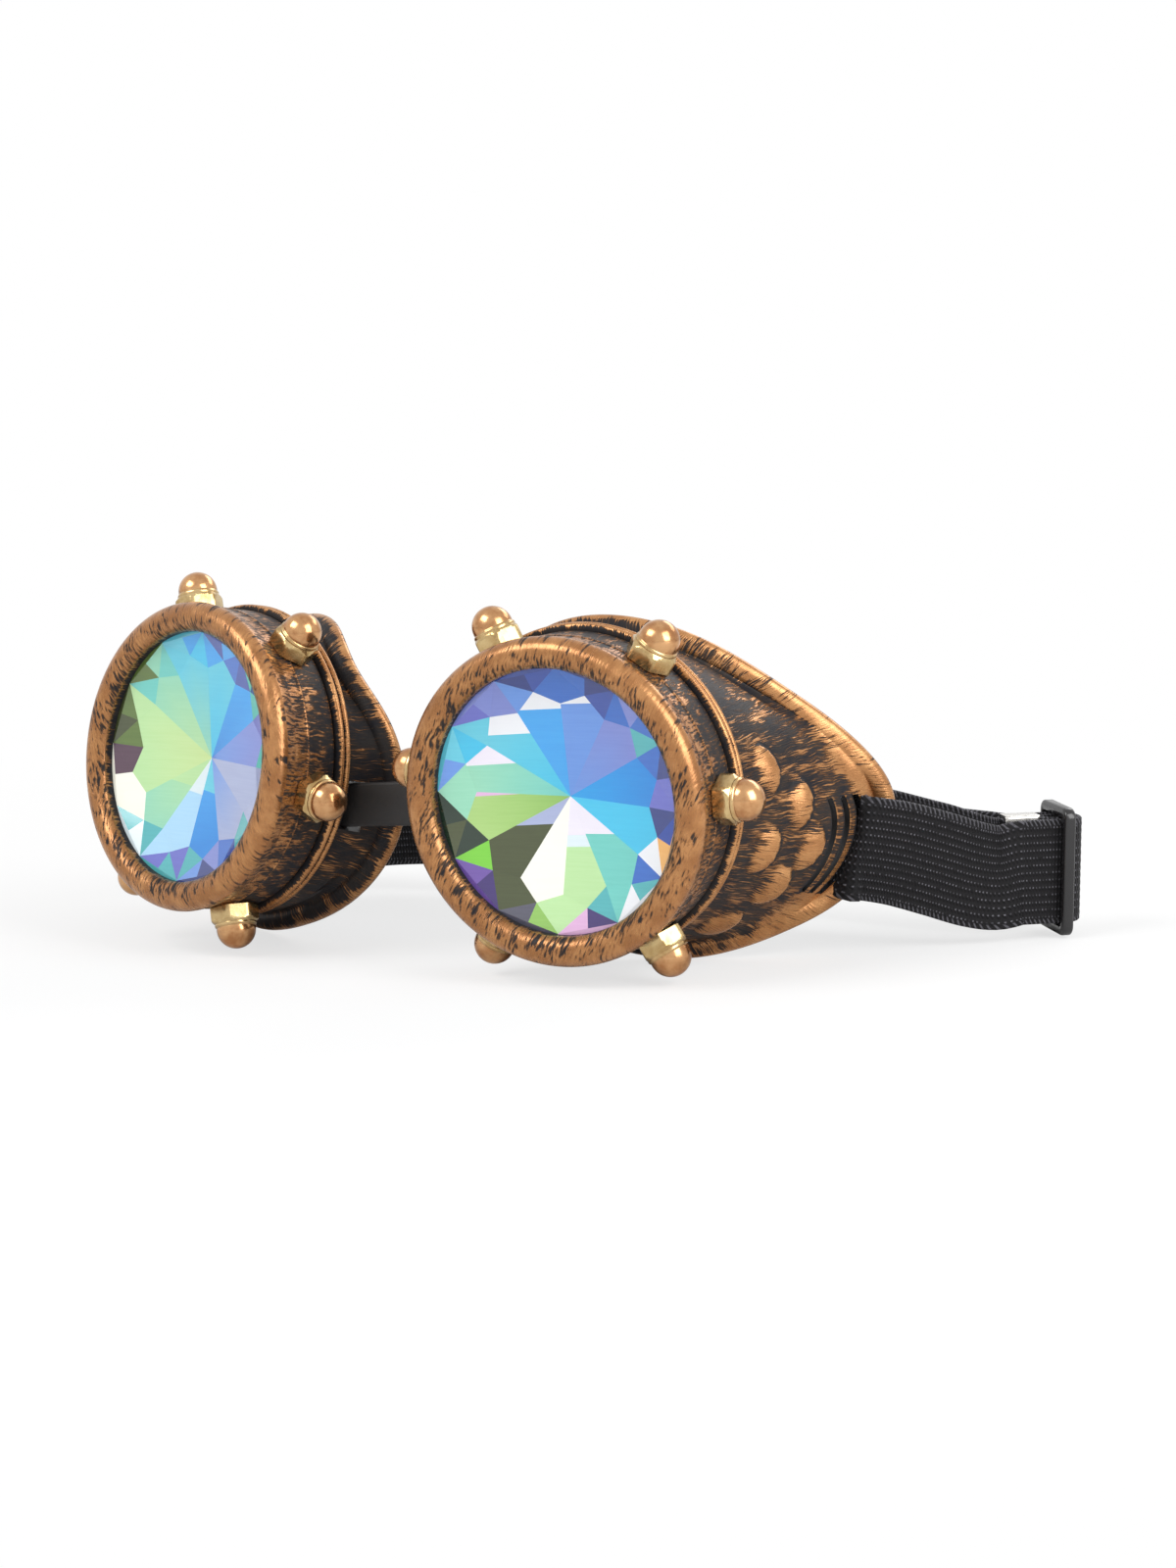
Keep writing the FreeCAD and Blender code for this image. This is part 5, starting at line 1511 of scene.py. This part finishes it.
def crimp_skin(start, along, half_gap):
    """A flat tube of sheet metal with soft corners, waisted a little where the tool closed it."""
    across = np.cross(UP, along)
    outer = rounded_section(STRAP_WIDTH + 2 * CRIMP_SHEET, 2 * (half_gap + CRIMP_SHEET), 0.45)
    inner = rounded_section(STRAP_WIDTH + 0.02, 2 * half_gap + 0.02, 0.08)
    rows = []
    length = CRIMP_LENGTH - 2 * CRIMP_INSET
    spots = [0.0, 0.12, 0.9, 1.8, 2.6, 3.25, 3.9, 4.7, 5.6, length - 0.12, length]
    for n, distance in enumerate(spots):
        end = n in (0, len(spots) - 1)
        pinch = 0.16 * math.exp(-((distance - length / 2) / 0.8) ** 2) + (0.1 if end else 0.0)
        rows.append((distance, outer - np.sign(outer) * (0.0, pinch)))
    rows += [(distance, inner) for distance in (length, 0.0)]
    points = np.array([[start + along * (CRIMP_INSET + d) + UP * w + across * t for w, t in ring]
                       for d, ring in rows])
    points = np.moveaxis(points, 0, 1) * MM
    skin = Skin()
    around = np.arange(len(points) + 1) * 2.0
    skin.add_grid(points, around, lengths_along(points / MM, True), np.full(points.shape[:2], 0.5))
    return skin


crimps = (
    ("bright_slider_crimp", crimp_mouth, LOOP_ALONG, 1.45, "slider", "slider_crimp"),
    ("bright_left_crimp", left_crimp, LEFT_ALONG, 1.6, "left_cup", "left_strap_crimp"),
)
for name, start, along, half_gap, body, node in crimps:
    piece = make_piece(name, crimp_skin(start, along, half_gap), crimp_metal)
    dress(piece, body, node)

# %% [markdown]
# ## Nose band
# A plain band of soft rubber joins the cups through a slot in each nose side, with a taller stop inside.

# %% Soft nose band
BAND_SLOT_SETBACK, BAND_SLOT_DROP = 18.1, 5.2
BAND_HEIGHT, BAND_THICKNESS, BAND_REACH = 8.0, 1.8, 7.6
BAND_STOP_HEIGHT, BAND_STOP_LENGTH = 14.6, 2.5
band_slot_reach = math.sqrt(SHELL_RADIUS ** 2 - BAND_SLOT_DROP ** 2) - SHELL_WALL / 2
band_slot = (-band_slot_reach, BAND_SLOT_SETBACK, -BAND_SLOT_DROP)
BAND_ENDS = [on_cup(side, band_slot) / MM for side in ("left", "right")]
band_along = BAND_ENDS[1] - BAND_ENDS[0]
band_length = np.linalg.norm(band_along)
band_along /= band_length
band_lean = sum((on_cup(side, (0, 0, 1)) - on_cup(side, (0, 0, 0))) / MM for side in SIDES)
band_across = unit(np.cross(band_lean, band_along))
band_up = np.cross(band_along, band_across)


def band_skin():
    """Rounded sections from stop to stop; the band bows forward a little between the cups."""
    total = band_length + 2 * BAND_REACH
    marks = np.concatenate([(0.0, 0.25, BAND_STOP_LENGTH - 0.2, BAND_STOP_LENGTH),
                            np.linspace(BAND_STOP_LENGTH + 0.3, total / 2, 30)])
    marks = np.concatenate([marks, total - marks[-2::-1]])
    points = []
    for mark in marks:
        from_end = min(mark, total - mark)
        stop = from_end <= BAND_STOP_LENGTH
        soft = 0.25 if from_end in (0.0, BAND_STOP_LENGTH) else 0.0
        height = (BAND_STOP_HEIGHT if stop else BAND_HEIGHT) - 2 * soft
        section = rounded_section(height, BAND_THICKNESS - soft, 0.5)
        bow = -0.25 * math.sin(math.pi * np.clip((mark - BAND_REACH - 2) / (band_length - 4), 0, 1))
        middle = BAND_ENDS[0] + band_along * (mark - BAND_REACH) + band_across * bow
        points.append([middle + band_up * w + band_across * t for w, t in section])
    points = np.array(points)
    skin = Skin()
    along = lengths_along(points, True)
    number = skin.add_grid(points * MM, np.append(marks, marks[-1]), along, np.full(points.shape[:2], 0.5),
                           round_trip=False)
    skin.add_face(number[0], [(0, 0)] * number.shape[1])
    skin.add_face(number[-1][::-1], [(0, 0)] * number.shape[1])
    return skin


band = make_piece("soft_nose_band", band_skin(), soft_rubber)
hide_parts("nose_band")
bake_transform(band)
for side in SIDES:
    for node, material in ((side + "_lens_seal", soft_rubber), (side + "_nut_studs", stud_steel)):
        frame["nodes"][node].data.materials.clear()
        frame["nodes"][node].data.materials.append(material)

# %% [markdown]
# ## Floor, light and camera
# The goggles stand on a pale floor in soft studio light: one large panel from the upper left, one from the
# right and a weak one from behind. The camera was found from the lens openings and the nuts.

# %% Floor and backdrop
FLOOR_REACH, FLOOR_DROP = 3.0, 0.0002
floor_mesh = bpy.data.meshes.new("floor")
corners = [(FLOOR_REACH * x, FLOOR_REACH * y, 0) for x, y in ((-1, -1), (1, -1), (1, 1), (-1, 1))]
floor_mesh.from_pydata(corners, [], [(0, 1, 2, 3)])
floor = add_object("floor", floor_mesh)
floor.location.z = -FLOOR_DROP
pale, tree, shader = new_material("pale_floor")
set_inputs(shader, Base_Color=(0.86, 0.86, 0.86, 1.0), Roughness=0.9, Specular_IOR_Level=0.1)
glow = add_node(tree, "ShaderNodeEmission", Color=(1.0, 1.0, 1.0, 1.0), Strength=1.0)
path_of_light = add_node(tree, "ShaderNodeLightPath")
far = add_node(tree, "ShaderNodeVectorMath", {"operation": "LENGTH"}, i0=own_place(tree)).outputs["Value"]
share = scaled(tree, step_up(tree, far, 0.1, 0.35), 0.3, 0.7)
seen = calc(tree, "MULTIPLY", path_of_light.outputs["Is Camera Ray"], share)
mixed = add_node(tree, "ShaderNodeMixShader", i0=seen, i1=shader.outputs[0], i2=glow.outputs[0])
tree.links.new(mixed.outputs[0], tree.nodes["Material Output"].inputs["Surface"])
floor_mesh.materials.append(pale)

world = bpy.data.worlds.new("studio")
bpy.context.scene.world = world
world.use_nodes = True
tree = world.node_tree
sky = tree.nodes["Background"]
sky.inputs["Color"].default_value = (1.0, 1.0, 1.0, 1.0)
path_of_light = add_node(tree, "ShaderNodeLightPath")
direct = calc(tree, "MAXIMUM", path_of_light.outputs["Is Camera Ray"], path_of_light.outputs["Is Glossy Ray"])
direct = calc(tree, "MAXIMUM", direct, path_of_light.outputs["Is Transmission Ray"])
tree.links.new(scaled(tree, direct, 0.55, 0.45), sky.inputs["Strength"])
print("floor and sky ready")

# %% Lamps


def panel(name, place, size, power):
    lamp = bpy.data.lights.new(name, "AREA")
    lamp.shape = "RECTANGLE"
    lamp.size, lamp.size_y = size
    lamp.energy = power
    holder = add_object(name, lamp)
    holder.location = place
    holder.rotation_euler = (Vector((0, 0, 0.03)) - Vector(place)).to_track_quat("-Z", "Y").to_euler()
    return holder


lamps = (
    panel("key_panel", (-0.35, -0.75, 0.85), (0.7, 0.5), 7.2),
    panel("right_panel", (0.95, -0.15, 0.5), (0.6, 0.8), 9.0),
    panel("back_panel", (0.1, 0.8, 0.6), (0.8, 0.3), 2.5),
)
print("lamps:", [lamp.name for lamp in lamps])

# %% Camera
CAMERA_PLACE = (388.686, -460.527, 100.342)
CAMERA_HEADING, CAMERA_PITCH = 36.324, -9.561
FOCAL_PIXELS, LONG_SIDE, SENSOR_WIDTH = 3500.0, 1600.0, 36.0
aim = stand_tilt @ rotation(CAMERA_HEADING, "Z") @ rotation(CAMERA_PITCH, "X")
lens = bpy.data.cameras.new("camera")
lens.sensor_width = SENSOR_WIDTH
lens.lens = SENSOR_WIDTH * FOCAL_PIXELS / LONG_SIDE
lens.clip_start = 0.01
camera = add_object("camera", lens)
between_eyes = sum(on_cup(side, (0, 0, 0)) for side in SIDES) / 2
place = stand_tilt @ Vector(CAMERA_PLACE) * MM + Vector(between_eyes)
axes = Matrix((aim.col[0], aim.col[2], -aim.col[1])).transposed()
camera.matrix_world = Matrix.Translation(place) @ axes.to_4x4()
bpy.context.scene.camera = camera
bpy.context.scene.view_settings.view_transform = "Standard"
print("camera at mm:", [round(x / MM, 1) for x in place])
